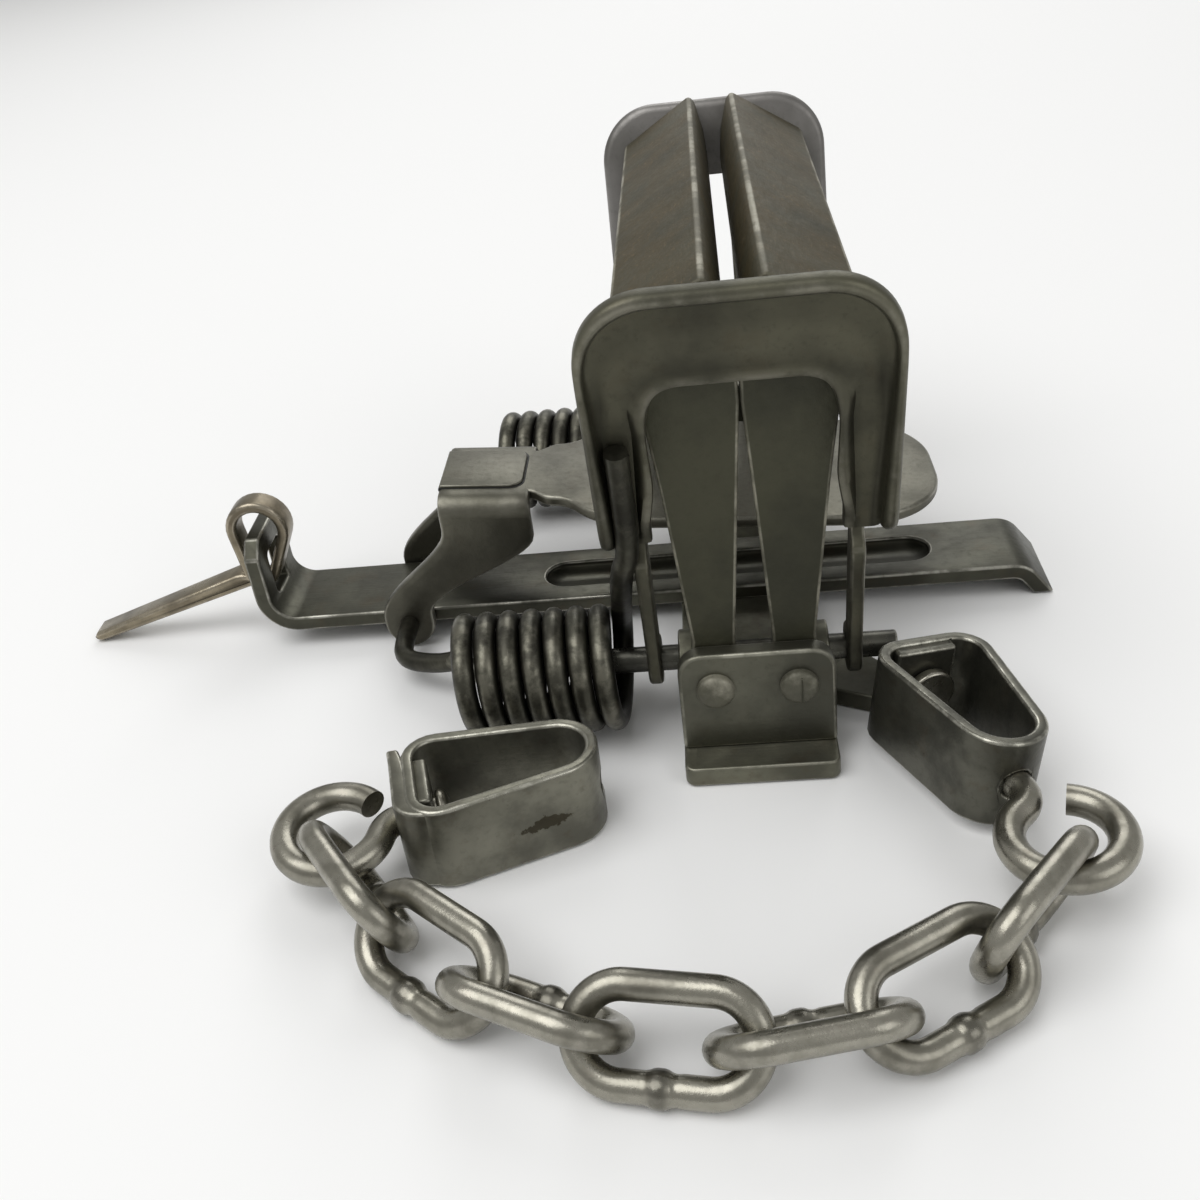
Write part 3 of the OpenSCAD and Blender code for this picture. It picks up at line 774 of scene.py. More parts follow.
@dataclass
class BaseFrame(Assembly):
    """Base bar, end posts, crossbar, axles and the rivet."""

    shoulder: float = 3.6
    post_edge: float = 0.6
    rounded: tuple[tuple[str, float, OilySteel], ...] = (
        ("base_bar", 0.4, BASE_STRIP),
        ("cross_bar", 0.5, BAR_STRIP),
        ("front_axle", 0.4, AXLE_ROD),
        ("rear_axle", 0.4, AXLE_ROD),
        ("swivel_rivet", 0.5, CHAIN_WIRE),
    )

    def build(self) -> None:
        """Makes the frame's pieces."""
        for node, edge, finish in self.rounded:
            self.shop.hand_over(self.shop.soften(node, edge), node, "dressed", finish)
        flat = frame_of(ORIGIN, ALONG_X, UPRIGHT, ALONG_Y)
        for node, side in (("front_jaw_post", -1.0), ("rear_jaw_post", 1.0)):
            ends = (side * POST_IN, side * POST_FACE)
            plate = self.shop.prism(self._post(node), ends, flat, self.post_edge)
            self.shop.hand_over(plate, node, "plate", SHADED_POST_PLATE)

    def _post(self, node: str) -> list[Pair]:
        """A post's outline with its round shoulders.

        Args:
            node: The post's CAD node.

        Returns:
            X and Z of its corners.
        """
        low, high = (Vector(corner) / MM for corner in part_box(node))
        r = self.shoulder
        half = [(low.x, low.z)] + arc(low.x + r, high.z - r, r, pi, QUARTER, 12)
        return half + [(-x, z) for x, z in reversed(half)]


@dataclass
class JawPair(Assembly):
    """The two cast jaws: a sloping bar, a leg at each end and studs in the posts."""

    pivot_x: float = 6.1
    pivot_z: float = 14.1
    ridge: float = 76.6
    gap: float = 1.1
    leg_gaps: Pair = (0.1, 2.2)
    crest: float = 3.8
    wide: float = 10.3
    depth: float = 12.2
    reach: float = POST_IN - 0.3
    bar_end: float = 46.9
    bar_edge: float = 0.7
    leg: float = 4.8
    leg_edge: float = 0.5
    foot: float = 3.5
    stud: float = 2.8
    stud_end: float = 50.6
    seam: Pair = (0.16, 2.1)
    seam_edge: float = 0.08

    def build(self) -> None:
        """Makes both jaws."""
        for node, side in (("left_jaw", -1.0), ("right_jaw", 1.0)):
            flat = frame_of(ORIGIN, (side, 0.0, 0.0), UPRIGHT, ALONG_Y)
            bar = self.shop.prism(self._bar(), (-self.bar_end, self.bar_end), flat, self.bar_edge)
            self._lean(bar)
            extras = []
            for end, apart in zip((-1.0, 1.0), self.leg_gaps):
                ends = (end * (self.reach - self.leg), end * self.reach)
                extras.append(self.shop.prism(self._leg(apart), ends, flat, self.leg_edge))
                extras += self._stud(side, end)
            self.shop.hand_over(self.shop.join(bar, extras), node, "cast", JAW_CASTING)

    def _lean(self, bar: Piece) -> None:
        """Slopes a bar's ends to lie along the levers.

        Args:
            bar: The bar, with upright ends.
        """
        foot = (self.ridge - self.depth) * MM
        for vertex in bar.data.vertices:
            if abs(vertex.co.y) > self.reach * MM:
                vertex.co.y += copysign(tan(LEVER_LEAN) * (vertex.co.z - foot), vertex.co.y)

    def _bar(self) -> list[Pair]:
        """The bar's section: X and Z of its corners."""
        top, low, out = self.ridge, self.ridge - self.depth, self.pivot_x + self.wide
        return [
            (self.gap, low + 0.6), (self.gap + 0.5, top - 6.0), (self.crest - 0.9, top - 1.1),
            (self.crest, top), (out, top - 7.6), (out, top - 10.6), (self.pivot_x + 8.0, low + 0.6),
            (self.gap + 5.0, low),
        ]

    def _leg(self, apart: float) -> list[Pair]:
        """A leg's outline, round its stud at the bottom.

        Args:
            apart: How far its inner edge is from the middle at the top.

        Returns:
            X and Z of its corners.
        """
        px, pz, top = self.pivot_x, self.pivot_z, self.ridge
        low, mid, out = pz + 6.4, top - 18.6, px + self.wide - 0.15
        return arc(px, pz, self.foot, 0.0, -pi, 16) + [
            (px - 3.4, low), (apart, mid), (apart + 0.1, top - 9.0), (self.crest, top - 0.8),
            (out, top - 7.75), (out, top - 10.6), (px + 9.6, top - 16.6), (px + 7.0, mid - 0.6),
            (px + 5.4, 45.0), (px + 2.9, low),
        ]

    def _stud(self, side: float, end: float) -> list[Piece]:
        """Makes a stud with a domed end and its casting seam.

        Args:
            side: 1 for the right jaw, -1 for the left.
            end: 1 for the rear, -1 for the front.

        Returns:
            The pieces; the left jaw's studs have no seam.
        """
        start = self.reach - 1.0
        far, r = self.stud_end - start, self.stud
        dome = [
            (0.0, 0.0), (0.0, r), (far - 0.95, r), (far - 0.6, r - 0.1), (far - 0.3, r - 0.36),
            (far - 0.1, r - 0.8), (far, r - 1.5), (far + 0.05, 0.0),
        ]
        place = Matrix.Translation((side * self.pivot_x, end * start, self.pivot_z))
        stud = self.shop.turned(dome, place @ turned_by(end * 90.0, "Z"))
        self.shop.mark(stud, "wear_and_sheen", lambda p: 1.0 if abs(p.y) > POST_FACE + 0.5 else 0.0)
        if side < 0.0:
            return [stud]
        line = frame_of((self.pivot_x + 0.3, end * start, self.pivot_z), ALONG_X, UPRIGHT, (0.0, end, 0.0))
        u, v = self.seam
        corners = [(-u, -v), (u, -v), (u, v), (-u, v)]
        return [stud, self.shop.prism(corners, (far - 0.5, far + 0.15), line, self.seam_edge)]


@dataclass
class LeverPair(Assembly):
    """The two stamped levers: a dished arch round a window, with an ear on each side for the axle.

    A rise or fall is where along the lever it starts and over what length.
    """

    half: float = 20.7
    length: float = 66.0
    front_more: float = 1.2
    corner: float = 10.0
    window: float = 13.4
    window_top: float = 52.5
    window_corner: float = 6.0
    arm: float = 26.0
    sheet: float = 1.1
    rim: float = 4.0
    back: float = 1.7
    lip: float = 1.5
    ear_in: float = 14.2
    ear_edge: float = 0.55
    eye: float = 4.0
    rim_fall: Pair = (54.0, 10.0)
    side_fall: Pair = (54.0, 8.0)
    sweep_rise: Pair = (47.0, 12.0)
    lip_rise: Pair = (26.0, 6.0)
    lip_fall: Pair = (52.0, -4.5)
    curl_rise: Pair = (28.0, 12.0)
    base_rise: Pair = (44.0, 5.0)

    def build(self) -> None:
        """Makes both levers."""
        front = ("front_lever", SHADED_FRONT_LEVER, 1.0, self.front_more)
        thick = 2.0 * self.sheet
        for node, finish, side, more in (front, ("rear_lever", LIT_REAR_LEVER, -1.0, 0.0)):
            middle, along, out = lever_axes(side)
            rings = self._rings(frame_of(middle, ALONG_X, along, out), self.length + more)
            sideways = frame_of(middle, along, out, ALONG_X)
            arch = self.shop.skin(rings)
            ears = [self.shop.prism(self._ear(), (x, x + thick), sideways, self.ear_edge)
                    for x in (self.ear_in, -self.ear_in - thick)]
            self.shop.hand_over(self.shop.join(arch, ears), node, "stamped", finish)

    def _arch(self, half: float, top: float, corner: float) -> list[Vector]:
        """Points along an arch from its left foot to its right foot.

        Args:
            half: Half its width.
            top: Its height.
            corner: Its corners' radius.

        Returns:
            The points, flat.
        """
        left = [(-half, self.arm + (top - corner - self.arm) * i / 30) for i in range(30)]
        left += arc(corner - half, top - corner, corner, pi, QUARTER, 18)[:-1]
        left += [((corner - half) * (1.0 - i / 10), top) for i in range(11)]
        return lifted(left + [(-x, y) for x, y in reversed(left[:-1])])

    def _rings(self, place: Matrix, length: float) -> list[list[Spot]]:
        """The sections of the arch from foot to foot.

        Args:
            place: Where the lever's axes are.
            length: How far the arch reaches from the axle.

        Returns:
            The rings.
        """
        rings = []
        outer = self._arch(self.half, length, self.corner)
        inner = self._arch(self.window, self.window_top, self.window_corner)
        for a, b in zip(outer, inner):
            inward = (b - a).normalized()
            ring = []
            for d, h, wear_and_sheen, grime_and_shade in self._section((b - a).length, a.y, b.y):
                flat = a + inward * d
                ring.append(Spot(place @ Vector((flat.x, flat.y, h)), wear_and_sheen, grime_and_shade))
            rings.append(ring)
        return rings

    def _section(self, width: float, outer: float, inner: float) -> list[tuple[float, float, float, float]]:
        """A section from the rim to the window: distance in, height, wear and painted shade of each point.

        Args:
            width: The distance from the outer edge to the window's edge.
            outer: How far along the lever the outer edge is here.
            inner: How far along the lever the window's edge is here.

        Returns:
            The points, in order round the section.
        """
        t, back = self.sheet, self.back
        foot = max(0.0, (31.0 - outer) / 5.0)
        rim = self.rim - 1.5 * smooth(outer, *self.rim_fall)
        top = back + (rim - back) * sqrt(1.0 - min(1.0, foot * foot))
        sweep = 1.2 + 2.0 * smooth(outer, *self.sweep_rise)
        lip = self.lip * smooth(inner, *self.lip_fall) * smooth(inner, *self.lip_rise)
        curl = lip * smooth(inner, *self.curl_rise)
        # side is 1 on the side rims near the axle, which lie in shade: there they get painted shade and
        # less rub
        side = 1.0 - smooth(outer, *self.side_fall)
        base = 0.3 + 0.9 * smooth(inner, *self.base_rise)
        start, stop = 2.0 * t + sweep, width - 1.4 - base
        points = [(back - back * sin(a), back - t - back * cos(a), 0.15, 0.0)
                  for a in (pi * i / 8.0 for i in range(5))]
        # The rim's crest: worn bright on top, with painted shade on the side rims
        for i in range(9):
            a = pi * i / 8.0
            wear_and_sheen = (0.9 - 0.4 * side) * sin(a) ** 3
            points.append((t - t * cos(a), top - t + t * sin(a), wear_and_sheen, 0.3 * side))
        # The fillet under the rim: painted shade in the crease, stronger on the side rims
        for i in range(1, 8):
            a = pi * i / 14.0
            grime_and_shade = (0.35 + 0.6 * side) * sin(a) ** 2
            points.append((start - sweep * cos(a), top - t - (top - 2.0 * t) * sin(a), 0.0, grime_and_shade))
        points += [(start + (stop - start) * k, t, 0.0, 0.0) for k in (0.3, 0.65)]
        points += [
            (stop, t, 0.0, 0.5), (stop + base * 0.5 + curl * 0.4, t + lip * 0.5, 0.0, 0.3),
            (width - 1.4 + curl * 0.9, t + lip * 0.94, 0.2, 0.0), (width - 0.8 + curl, t + lip, 0.6, 0.0),
            (width - 0.2 + curl, t + lip - 0.22, 0.8, 0.0), (width + curl, t + lip - 0.75, 0.3, 0.0),
            (width, 0.5 - t, 0.0, 0.0), (width - 0.5, -t, 0.3, 0.0),
        ]
        return points + [(width * k, -t, 0.0, 0.0) for k in (0.7, 0.45)]

    def _ear(self) -> list[Pair]:
        """The ear's outline, round the axle: places along the lever and out from it."""
        low, high = asin(3.2 / self.eye), 2.0 * pi - asin(1.0 / self.eye)
        return arc(0.0, 0.0, self.eye, low, high, 24) + [
            (30.0, -1.0), (30.0, 1.0), (25.4, 1.0), (24.7, 1.5), (24.3, 2.5), (23.6, 3.3), (22.6, 3.6),
            (21.4, 3.5), (19.5, 3.2),
        ]


@dataclass
class PanAndDog(Assembly):
    """The pan with its folded neck and ears, its catch and the dog.

    A rise is where up the ear it starts and over what height.
    """

    z: float = 25.2
    tilt: float = 4.2
    sheet: float = 2.0
    left: float = -30.5
    right: float = 33.5
    width: float = 36.5
    neck: float = 10.2
    fillet: float = 5.0
    side: float = 11.42
    ear_sheet: float = 2.2
    bend: float = 3.4
    ear_round: float = 4.5
    ear_top: float = 23.8
    neck_x: Pair = (8.9, 24.5)
    left_rise: Pair = (6.0, 15.5)
    right_rise: Pair = (6.5, 13.5)
    pan_edge: float = 0.6
    dog_edge: float = 0.75
    pad_x: Pair = (-51.2, -36.9)
    pad_half: float = 6.7
    pad_corner: float = 2.6
    pad_ends: Pair = (-0.4, 0.55)
    pad_edge: float = 0.3
    seam_margin: float = 0.3
    seam_ends: Pair = (-0.4, 0.1)
    seam_edge: float = 0.04

    def build(self) -> None:
        """Makes the trigger's pieces; a thin dark plate under the pad paints the shadow in the seam round
        it.
        """
        shop = self.shop
        tilted = Matrix.Translation((0.0, 0.0, self.z)) @ turned_by(self.tilt, "Y")
        plate = shop.prism(self._outline(), (-self.sheet, 0.0), tilted, self.pan_edge)
        fold = shop.skin(self._rings())
        shop.mark(fold, "grime_and_shade", self._shade)
        shop.hand_over(shop.join(plate, [fold]), "pan", "stamped", PAN_STAMPING)
        pad = shop.prism(self._pad(0.0), self.pad_ends, tilted, self.pad_edge)
        shop.hand_over(pad, "pan_catch", "pressed", PAN_STAMPING)
        # A thin dark plate a little wider than the pad: painted shadow in its seam
        seam = shop.prism(self._pad(self.seam_margin), self.seam_ends, tilted, self.seam_edge)
        shop.coat(seam, "pad_seam_shadow", SEAM_SHADOW)
        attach(seam, shop.body_of["pan"])
        shop.hand_over(shop.soften("dog", self.dog_edge), "dog", "dressed", DOG_STRIP)

    def _pad(self, grow: float) -> list[Pair]:
        """The outline of the pressed pad.

        Args:
            grow: A margin round it.

        Returns:
            X and Y of its corners.
        """
        left, right = self.pad_x[0] - 0.3 * grow, self.pad_x[1] + grow
        half, r = self.pad_half + grow, self.pad_corner
        corner = arc(right - r, half - r, r, 0.0, QUARTER, 12)
        return [(left, -half)] + [(x, -y) for x, y in reversed(corner)] + corner + [(left, half)]

    def _outline(self) -> list[Pair]:
        """The flat pan's outline: a round-ended plate that narrows to its neck.

        Returns:
            X and Y of its corners.
        """
        corner = self.width / 2.0 - 3.4
        cx, cy = self.left + corner, corner - self.width / 2.0
        fy = self.neck + self.fillet
        fx = cx - sqrt((corner + self.fillet) ** 2 - (fy + cy) ** 2)
        turn = atan2(fy + cy, cx - fx)
        half = [(-50.9, -7.6), (-35.4, -7.6), (-34.6, -8.1), (-33.4, -9.3), (-32.6, -9.9)]
        half += arc(fx, -fy, self.fillet, QUARTER, turn, 12)
        half += arc(cx, cy, corner, pi + turn, 3.0 * QUARTER, 12)[1:]
        half += arc(self.right - corner, cy, corner, 3.0 * QUARTER, 4.0 * QUARTER, 24)
        return half + [(x, -y) for x, y in reversed(half)]

    def _edges(self, z: float) -> Pair:
        """The left and right edges of an ear at a height."""
        r, (left, right) = self.ear_round, self.neck_x
        return (PAN_X - r + (left + r) * smooth(z, *self.left_rise),
                PAN_X + r + (right - r) * smooth(z, *self.right_rise))

    def _rings(self) -> list[list[Spot]]:
        """The sections of the folded neck from the front ear's foot over the top to the rear ear's foot.

        Returns:
            The rings.
        """
        half = []
        for i in range(9):
            a = QUARTER * (1.0 - i / 9.0)
            reach = self.ear_round * cos(a)
            half.append(((PAN_X - reach, PAN_X + reach), 0.0, PAN_Z - self.ear_round * sin(a), 0.0))
        for i in range(25):
            z = PAN_Z + (self.ear_top - PAN_Z) * i / 24
            half.append((self._edges(z), 0.0, z, i / 24))
        top = self._edges(self.ear_top + 6.2)
        half += [(top, QUARTER * i / 8.0, None, 1.0) for i in range(9)]
        rings = [self._ring(*row, side=-1.0) for row in half]
        return rings + [self._ring(*row, side=1.0) for row in reversed(half)]

    def _ring(self, edges: Pair, turn: float, level: Optional[float], share: float,
              side: float) -> list[Spot]:
        """A section of the fold across its sheet.

        Args:
            edges: Its left and right ends.
            turn: How far it is round the bend, from 0 at the ear to a quarter turn at the top.
            level: Its height on the ear, or None on the bend.
            share: How much of the pan's tilt it takes.
            side: -1 for the front ear, 1 for the rear one.

        Returns:
            The ring.
        """
        low, high = edges
        thick = self.ear_sheet
        inset = min(0.6, (high - low) / 4.0)
        across = [low + inset + (high - low - 2.0 * inset) * k / 8.0 for k in range(9)]
        rim = [(0.0, 0.6), (inset * 0.3, 0.18)]
        section = [(x, 0.0, 0.0) for x in across]
        section += [(high - d, v, 0.9) for d, v in reversed(rim)]
        section += [(high - d, thick - v, 0.4) for d, v in rim]
        section += [(x, thick, 0.0) for x in reversed(across)]
        section += [(low + d, thick - v, 0.4) for d, v in reversed(rim)]
        section += [(low + d, v, 0.9) for d, v in rim]
        ring = []
        for x, deep, wear_and_sheen in section:
            crown = self.z - x * tan(radians(self.tilt)) + 0.04 - self.bend
            r = self.bend - deep
            y = self.side - self.bend + r * cos(turn)
            z = crown + r * sin(turn) if level is None else level + share * (crown - self.ear_top)
            # Across the bend the rub is a painted highlight where the fold turns up to the light
            ring.append(Spot(Vector((x, side * y, z)), max(wear_and_sheen, 0.35 * sin(2.0 * turn))))
        return ring

    @staticmethod
    def _shade(point: Vector) -> float:
        """Painted shade on an ear: a shadow round the spring's end in its hole, and more shade towards its
        foot.
        """
        hole = 2.4 - 0.8 * hypot(point.x - PAN_X, point.z - PAN_Z)
        return max(hole, 0.5 * smooth(point.z, 24.0, -8.0))


@dataclass
class SpringPair(Assembly):
    """The two torsion springs: a leg up the lever, turns round the axle, a leg into the pan's ear."""

    radius: float = 1.685
    coil_r: float = 8.3
    pitch: float = 3.56
    coil_x: float = -20.2
    coil_y: float = -37.4
    twist: Pair = (-44.0, -20.3)
    tip_x: float = -16.65
    tip_l: float = 44.5
    knee_l: float = 25.5
    offset: float = 2.975
    pin_end: float = -8.95
    turns: int = 7
    turn_steps: int = 56
    end_angle: float = 20.0
    sides: int = 18

    def build(self) -> None:
        """Makes both springs."""
        for place, side in (("front", 1.0), ("rear", -1.0)):
            node, lever = f"{place}_spring", f"{place}_lever"
            path = [Vector((p.x, p.y * side, p.z)) for p in self._path()]
            piece = self.shop.tubes.sweep(path, self.radius, self.sides)
            self.shop.mark(piece, "wear_and_sheen", self._worn_and_highlit)
            self.shop.mark(piece, "grime_and_shade", self._inner_shade)
            self.shop.coat(piece, node + "_wound", COIL_WIRE)
            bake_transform(piece)
            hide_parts(node)

    def _on_coil(self, x: float, angle: float) -> Vector:
        """The wire's middle at an angle round the coil."""
        return Vector((x, self.coil_y, AXLE_Z)) + self.coil_r * Vector((0.0, cos(angle), sin(angle)))

    def _path(self) -> list[Vector]:
        """The front spring's middle line, from its tip in the lever to its end in the ear.

        Returns:
            The points.
        """
        middle, along, out = lever_axes(1.0)
        lever = frame_of(middle, ALONG_X, along, out)
        tip = lever @ Vector((self.tip_x, self.tip_l, self.offset))
        rise = lever @ Vector((self.tip_x, self.knee_l + 0.7, self.offset))
        knee = lever @ Vector((self.tip_x - 1.7, self.knee_l - 2.9, self.offset + 0.13))
        reach = hypot(knee.y - self.coil_y, knee.z - AXLE_Z)
        start = atan2(knee.z - AXLE_Z, knee.y - self.coil_y) - acos(self.coil_r / reach)
        end = radians(self.end_angle) - self.turns * 2.0 * pi
        length = self.pitch * (start - end) / (2.0 * pi)
        steps = self.turns * self.turn_steps
        coil = [self._on_coil(self.coil_x - length * i / steps, start + (end - start) * i / steps)
                for i in range(steps + 1)]
        foot, last = coil[0], coil[-1]
        bend = [last + Vector(v) for v in ((-0.7, 1.0, -3.2), (-2.2, 2.0, -5.9), (-5.0, 3.3, -7.7))]
        ear = [
            Vector((PAN_X * 0.6 + last.x * 0.4, last.y + 4.9, PAN_Z + 0.5)),
            Vector((PAN_X + 2.2, last.y + 6.6, PAN_Z + 0.1)),
            Vector((PAN_X + 0.5, last.y + 8.8, PAN_Z)),
            Vector((PAN_X, last.y + 11.8, PAN_Z)),
            Vector((PAN_X, self.pin_end, PAN_Z)),
        ]
        return rounded_corners([tip, rise, knee, foot]) + coil[1:-1] + rounded_corners([last] + bend + ear)

    def _out(self, point: Vector) -> float:
        """How far a point of either spring is from the middle of its coil."""
        return hypot(abs(point.y) + self.coil_y, point.z - AXLE_Z)

    def _worn_and_highlit(self, point: Vector) -> float:
        """How worn and highlit the wire is: wear with a painted highlight, most on the outside of the
        turns.
        """
        out = self._out(point)
        return (out - self.coil_r - 0.9) / 0.6 if out < self.coil_r + 2.0 else 0.25

    def _inner_shade(self, point: Vector) -> float:
        """The painted shade on the wire: most inside the coil."""
        return (self.coil_r + 0.7 - self._out(point)) / 1.2


@dataclass
class Chain(Assembly):
    """Seven welded links between the base swivel and the stake swivel, with both straps and eye pins."""

    wire: float = 3.9
    length: float = 18.0
    width: float = 7.4
    slack: float = 1.25
    eye_slack: float = 0.9
    lift: float = 0.05
    link_sides: int = 20
    pin_sides: int = 22
    heads: tuple[float, ...] = (-121.5, -139.8, -159.5, -180.0, -197.8, -212.2, -226.6, -242.2)
    rolls: tuple[float, ...] = (74.0, -36.0, 45.0, -45.0, 45.0, -45.0, 64.0)
    link_z: float = 5.95
    strap: float = 28.0
    strap_thick: float = 1.8
    strap_mid: float = 7.0
    strap_half: float = 9.0
    strap_nose: float = 6.4
    strap_corner: float = 4.8
    strap_edge: float = 0.55
    lap_end: float = 264.0
    base_wall: Point = (24.0, -40.6, 0.0)
    base_head: float = -70.0
    base_roll: float = 8.0
    stake_head: float = 14.0
    eye_r: float = 7.0
    eye_turn: float = 305.0
    eye_bend: float = 4.0
    eye_gap: float = 0.8
    eye_rolls: Pair = (4.0, 6.0)
    pin_r: float = 2.1
    dome: tuple[Pair, ...] = (
        (0.0, 0.0), (0.05, 1.4), (0.3, 2.3), (0.75, 2.85), (1.2, 3.0), (1.7, 2.95), (1.9, 2.7), (1.9, 0.0),
    )

    def __post_init__(self) -> None:
        """Works out where the eyes and the links are."""
        self.turn = acos(self.eye_bend / (self.eye_r + self.eye_bend))
        self.lead = (self.eye_r + self.eye_bend) * sin(self.turn)
        roll = radians(self.base_roll)
        base_mid = self.strap_mid * cos(roll) + self.strap_half * sin(roll) + self.lift
        wall = Vector(self.base_wall)
        spot = wall + (self.strap + self.lead + self.eye_gap) * unit_at(self.base_head)
        eye_step = self.length / 2.0 + self.wire / 2.0 + self.eye_slack
        last = len(self.rolls)
        self.middles: list[Vector] = []
        for i, head in enumerate(self.heads):
            spot = spot + (eye_step if i in (0, last) else self.length - self.slack) * unit_at(head)
            self.middles.append(spot)
        stake = self.middles[last] + (self.lead + self.eye_gap) * unit_at(self.stake_head)
        mirror = Matrix.Scale(-1.0, 4, ALONG_X)
        self.at_base = Matrix.Translation(wall + base_mid * Vector(UPRIGHT))
        self.at_base = self.at_base @ turned_by(self.base_head, "Z")
        self.at_stake = Matrix.Translation(stake + self.strap_mid * Vector(UPRIGHT))
        self.at_stake = self.at_stake @ turned_by(self.stake_head, "Z") @ mirror

    def build(self) -> None:
        """Makes the links, pins and straps."""
        for number in range(len(self.rolls)):
            self._link(number)
        eye = self.lead + self.eye_gap
        base_roll, stake_roll = (turned_by(roll, "X") for roll in self.eye_rolls)
        base_head, stake_head = self.strap - self.strap_nose - 0.1, -2.0 * self.strap_thick - 2.2
        self._pin("base_eye_pin", self.at_base @ base_roll, base_head, self.strap + eye)
        self._pin("stake_eye_pin", self.at_stake @ stake_roll, stake_head, eye)
        base, stake = (self.shop.soften(f"{end}_swivel_box", self.strap_edge) for end in ("base", "stake"))
        self.shop.hand_over(base, "base_swivel_box", "dressed", STRAP_STEEL)
        foot = self.at_stake @ Vector((0.0, 0.0, -self.strap_mid))
        flat = frame_of(foot, unit_at(self.stake_head), unit_at(self.stake_head + 90.0), UPRIGHT)
        over = self.shop.prism(self._lap(), (0.3, 2.0 * self.strap_mid - 0.2), flat, 0.5)
        self.shop.hand_over(self.shop.join(stake, [over]), "stake_swivel_box", "dressed", STAINED_STRAP)

    def _lap(self) -> list[Pair]:
        """The outer end of the stake strap, lapped over its wall and thinned out round its corner.

        Returns:
            X and Y of its corners.
        """
        corner, thick = self.strap_corner, self.strap_thick
        flat = self.strap_half - corner
        start, end, steps = pi, radians(self.lap_end), 12
        outer = []
        for i, (x, y) in enumerate(arc(0.0, 0.0, 1.0, start, end, steps)):
            r = corner + thick - (thick + 0.5) * smooth(i / steps)
            outer.append((corner + r * x, r * y - flat))
        inner = arc(corner, -flat, corner - 1.2, start, end, steps)
        return [(0.2, 5.4), (-0.15, 7.3), (-thick - 0.1, 7.4), (-thick, 5.0)] + outer + inner[::-1]

    def _link(self, number: int) -> None:
        """Makes one link with its weld.

        Args:
            number: The link, counted from 0 at the base swivel.
        """
        roll, head = self.rolls[number], (self.heads[number] + self.heads[number + 1]) / 2.0
        half = self.width / 2.0 + self.wire / 2.0
        straight = self.length / 2.0 + self.wire / 2.0 - half
        turn = arc(straight, 0.0, half, -QUARTER, QUARTER, 36)
        turn += [(straight - 2.0 * straight * i / 24, half) for i in range(1, 24)]
        loop = lifted(turn + [(-x, -y) for x, y in turn])
        weld = half if number % 2 else -half
        rise = max(self.link_z, half * sin(radians(abs(roll))) + self.wire / 2.0)
        place = Matrix.Translation(self.middles[number] + rise * Vector(UPRIGHT))
        place = place @ turned_by(head, "Z") @ turned_by(roll, "X")
        path = [place @ p for p in loop]
        swell = [1.0 + self._bead(p, weld) for p in loop]
        piece = self.shop.tubes.sweep(path, self.wire / 2.0, self.link_sides, swell)
        back = place.inverted()
        self.shop.mark(piece, "wear_and_sheen", lambda p: self._link_wear(back @ p, straight, half))
        self.shop.mark(piece, "grime_and_shade", lambda p: 5.0 * self._bead(back @ p, weld))
        self.shop.hand_over(piece, f"chain_link_{number + 1}", "welded", CHAIN_WIRE)

    @staticmethod
    def _bead(point: Vector, weld: float) -> float:
        """How much the weld swells the wire near a point of the link.

        Args:
            point: The point, from the link's middle.
            weld: Where across the link the weld is.

        Returns:
            The share of the wire's thickness.
        """
        if point.y * weld <= 0.0 or abs(point.y) < abs(weld) * 0.55:
            return 0.0
        bead, groove = ((point.x - 0.5) / 1.2) ** 4, ((point.x + 1.5) / 0.5) ** 2
        return 0.2 * exp(-bead) - 0.05 * exp(-groove)

    @staticmethod
    def _link_wear(point: Vector, straight: float, half: float) -> float:
        """How rubbed a link is: bright inside its crowns and along its outer faces.

        Args:
            point: The point, from the link's middle.
            straight: Where the link's crowns begin.
            half: How far out the wire's middle is.

        Returns:
            The wear.
        """
        crown = max(0.0, abs(point.x) - straight)
        inner = half - hypot(crown, point.y)
        if crown > 0.0 and inner > 0.4:
            return 0.9 * (inner - 0.4)
        return 0.28 * max(0.0, -inner) + 0.12 * abs(point.z)

    def _pin(self, node: str, place: Matrix, head: float, eye: float) -> None:
        """Makes an eye pin: head, shank, elbow and eye.

        Args:
            node: The CAD node.
            place: Where its local axes are.
            head: The place of its head along X.
            eye: The place of its eye's middle along X.
        """
        bend, start = eye - self.lead, 3.0 * QUARTER - self.turn
        path = [(head + 0.5 + (bend - head - 0.5) * i / 12, 0.0) for i in range(12)]
        path += arc(bend, -self.eye_bend, self.eye_bend, QUARTER, QUARTER - self.turn, 16)
        path += arc(eye, 0.0, self.eye_r, start, start + radians(self.eye_turn), 64)[1:]
        piece = self.shop.tubes.sweep([place @ p for p in lifted(path)], self.pin_r, self.pin_sides)
        self.shop.join(piece, [self.shop.turned([(head + x, r) for x, r in self.dome], place)])
        self.shop.mark(piece, "wear_and_sheen", lambda p: 0.3 * sin(p.x * 0.9) * sin(p.y * 0.7) + 0.2)
        self.shop.hand_over(piece, node, "bent", CHAIN_WIRE)


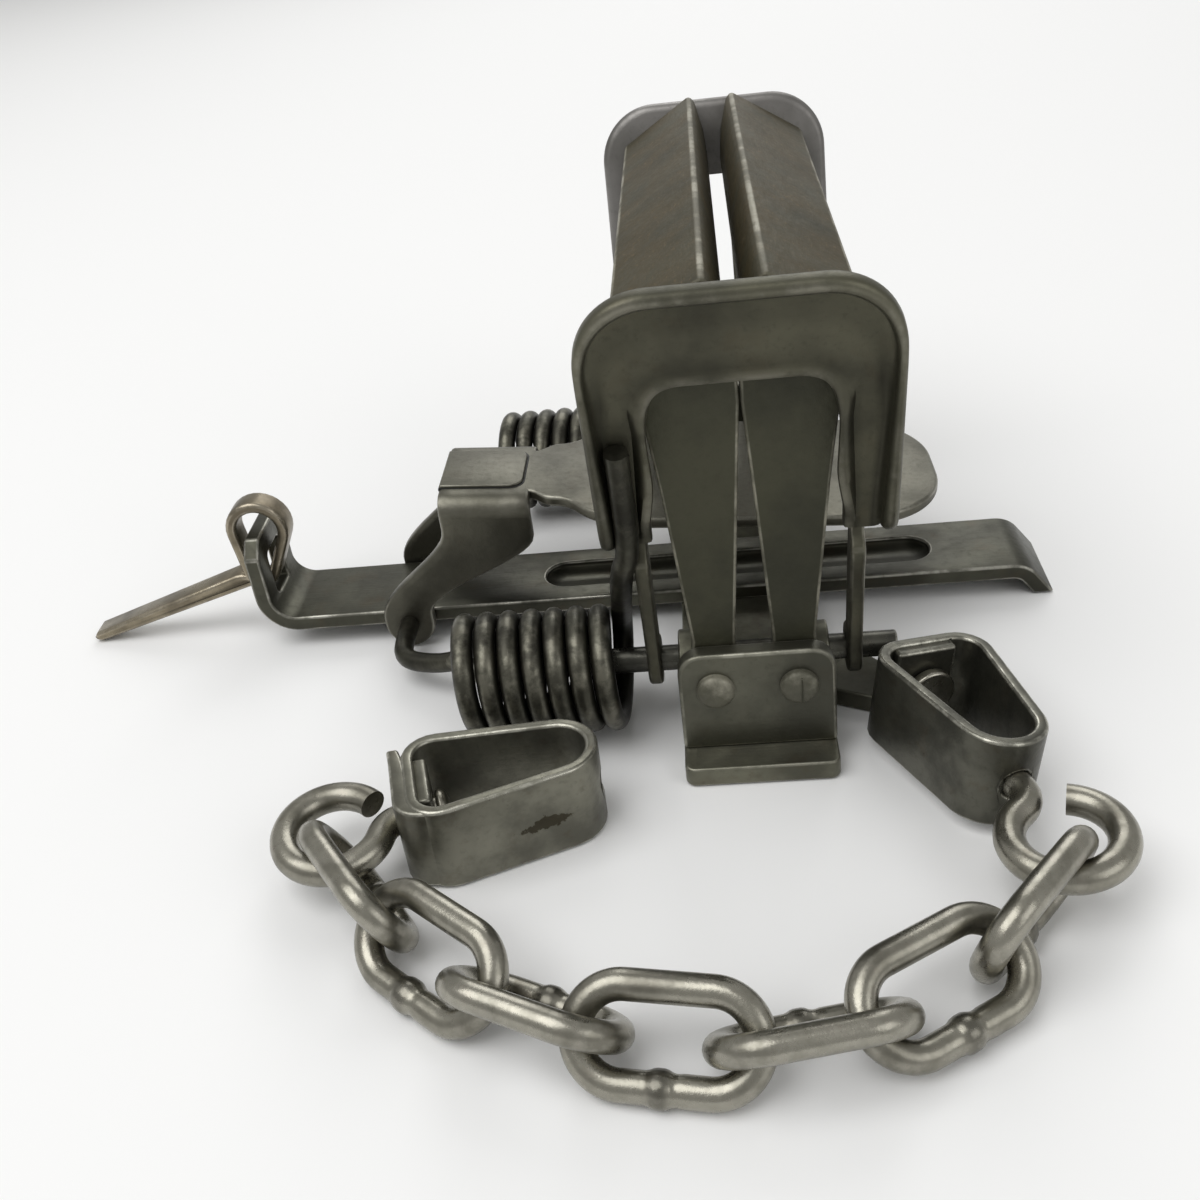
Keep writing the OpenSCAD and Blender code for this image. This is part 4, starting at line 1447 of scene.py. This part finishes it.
@dataclass
class Studio:
    """Floor, soft lights and the camera at the photograph's angle."""

    eye: Point = (-3.6, -202.8, 129.8)
    yaw: float = -6.55
    pitch: float = 32.51
    roll: float = -7.68
    lens: float = 39.12
    sensor: float = 36.0
    floor_half: float = 3000.0
    floor_drop: float = 0.2

    def build(self) -> None:
        """Makes the stage."""
        self._camera()
        self._floor()
        self._light("key", (-500.0, -300.0, 1100.0), (0.0, 0.0, 30.0), 1000.0, 8.0)
        self._light("fill", (800.0, -600.0, 600.0), (0.0, 0.0, 30.0), 700.0, 2.0)
        self._light("back", (100.0, 1000.0, 800.0), (0.0, 0.0, 40.0), 800.0, 4.0)
        bpy.context.scene.view_settings.view_transform = "Standard"
        world = bpy.data.worlds.new("soft_room")
        world.use_nodes = True
        sky = world.node_tree.nodes["Background"].inputs
        sky["Color"].default_value = (0.95, 0.95, 0.93, 1.0)
        sky["Strength"].default_value = 0.5
        bpy.context.scene.world = world

    def _camera(self) -> None:
        """Places the camera."""
        turn = turned_by(-self.yaw, "Z") @ turned_by(90.0 - self.pitch, "X") @ turned_by(self.roll, "Z")
        data = bpy.data.cameras.new("camera")
        data.lens = self.lens
        data.sensor_width = self.sensor
        data.sensor_fit = "HORIZONTAL"
        data.clip_start = 0.01
        camera = bpy.data.objects.new("camera", data)
        camera.matrix_world = Matrix.Translation(Vector(self.eye) * MM) @ turn
        bpy.context.scene.collection.objects.link(camera)
        bpy.context.scene.camera = camera

    def _floor(self) -> None:
        """Makes the pale floor."""
        shape = bmesh.new()
        bmesh.ops.create_grid(shape, x_segments=1, y_segments=1, size=self.floor_half * MM)
        floor = Workshop.new_piece(shape)
        floor.name = "floor"
        floor.location.z = -self.floor_drop * MM
        pale = {"Base Color": (0.9, 0.9, 0.9, 1.0), "Roughness": 0.9}
        floor.data.materials.append(Recipe("pale_floor").finish(pale))

    @staticmethod
    def _light(name: str, place: Point, target: Point, size: float, power: float) -> None:
        """Adds a soft light.

        Args:
            name: The light's name.
            place: Where it stands.
            target: What it points at.
            size: Its side.
            power: Its power, in watts.
        """
        data = bpy.data.lights.new(name, "AREA")
        data.size = size * MM
        data.energy = power
        light = bpy.data.objects.new(name, data)
        light.location = Vector(place) * MM
        light.rotation_euler = (Vector(target) - Vector(place)).to_track_quat("-Z", "Y").to_euler()
        bpy.context.scene.collection.objects.link(light)


def main() -> None:
    """Builds every piece in order."""
    logging.basicConfig(level=logging.INFO, format="%(message)s")
    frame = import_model()
    Studio().build()
    shop = Workshop(frame)
    for assembly in (BaseFrame, JawPair, LeverPair, PanAndDog, SpringPair, Chain):
        assembly(shop).build()


if __name__ == "__main__":
    main()
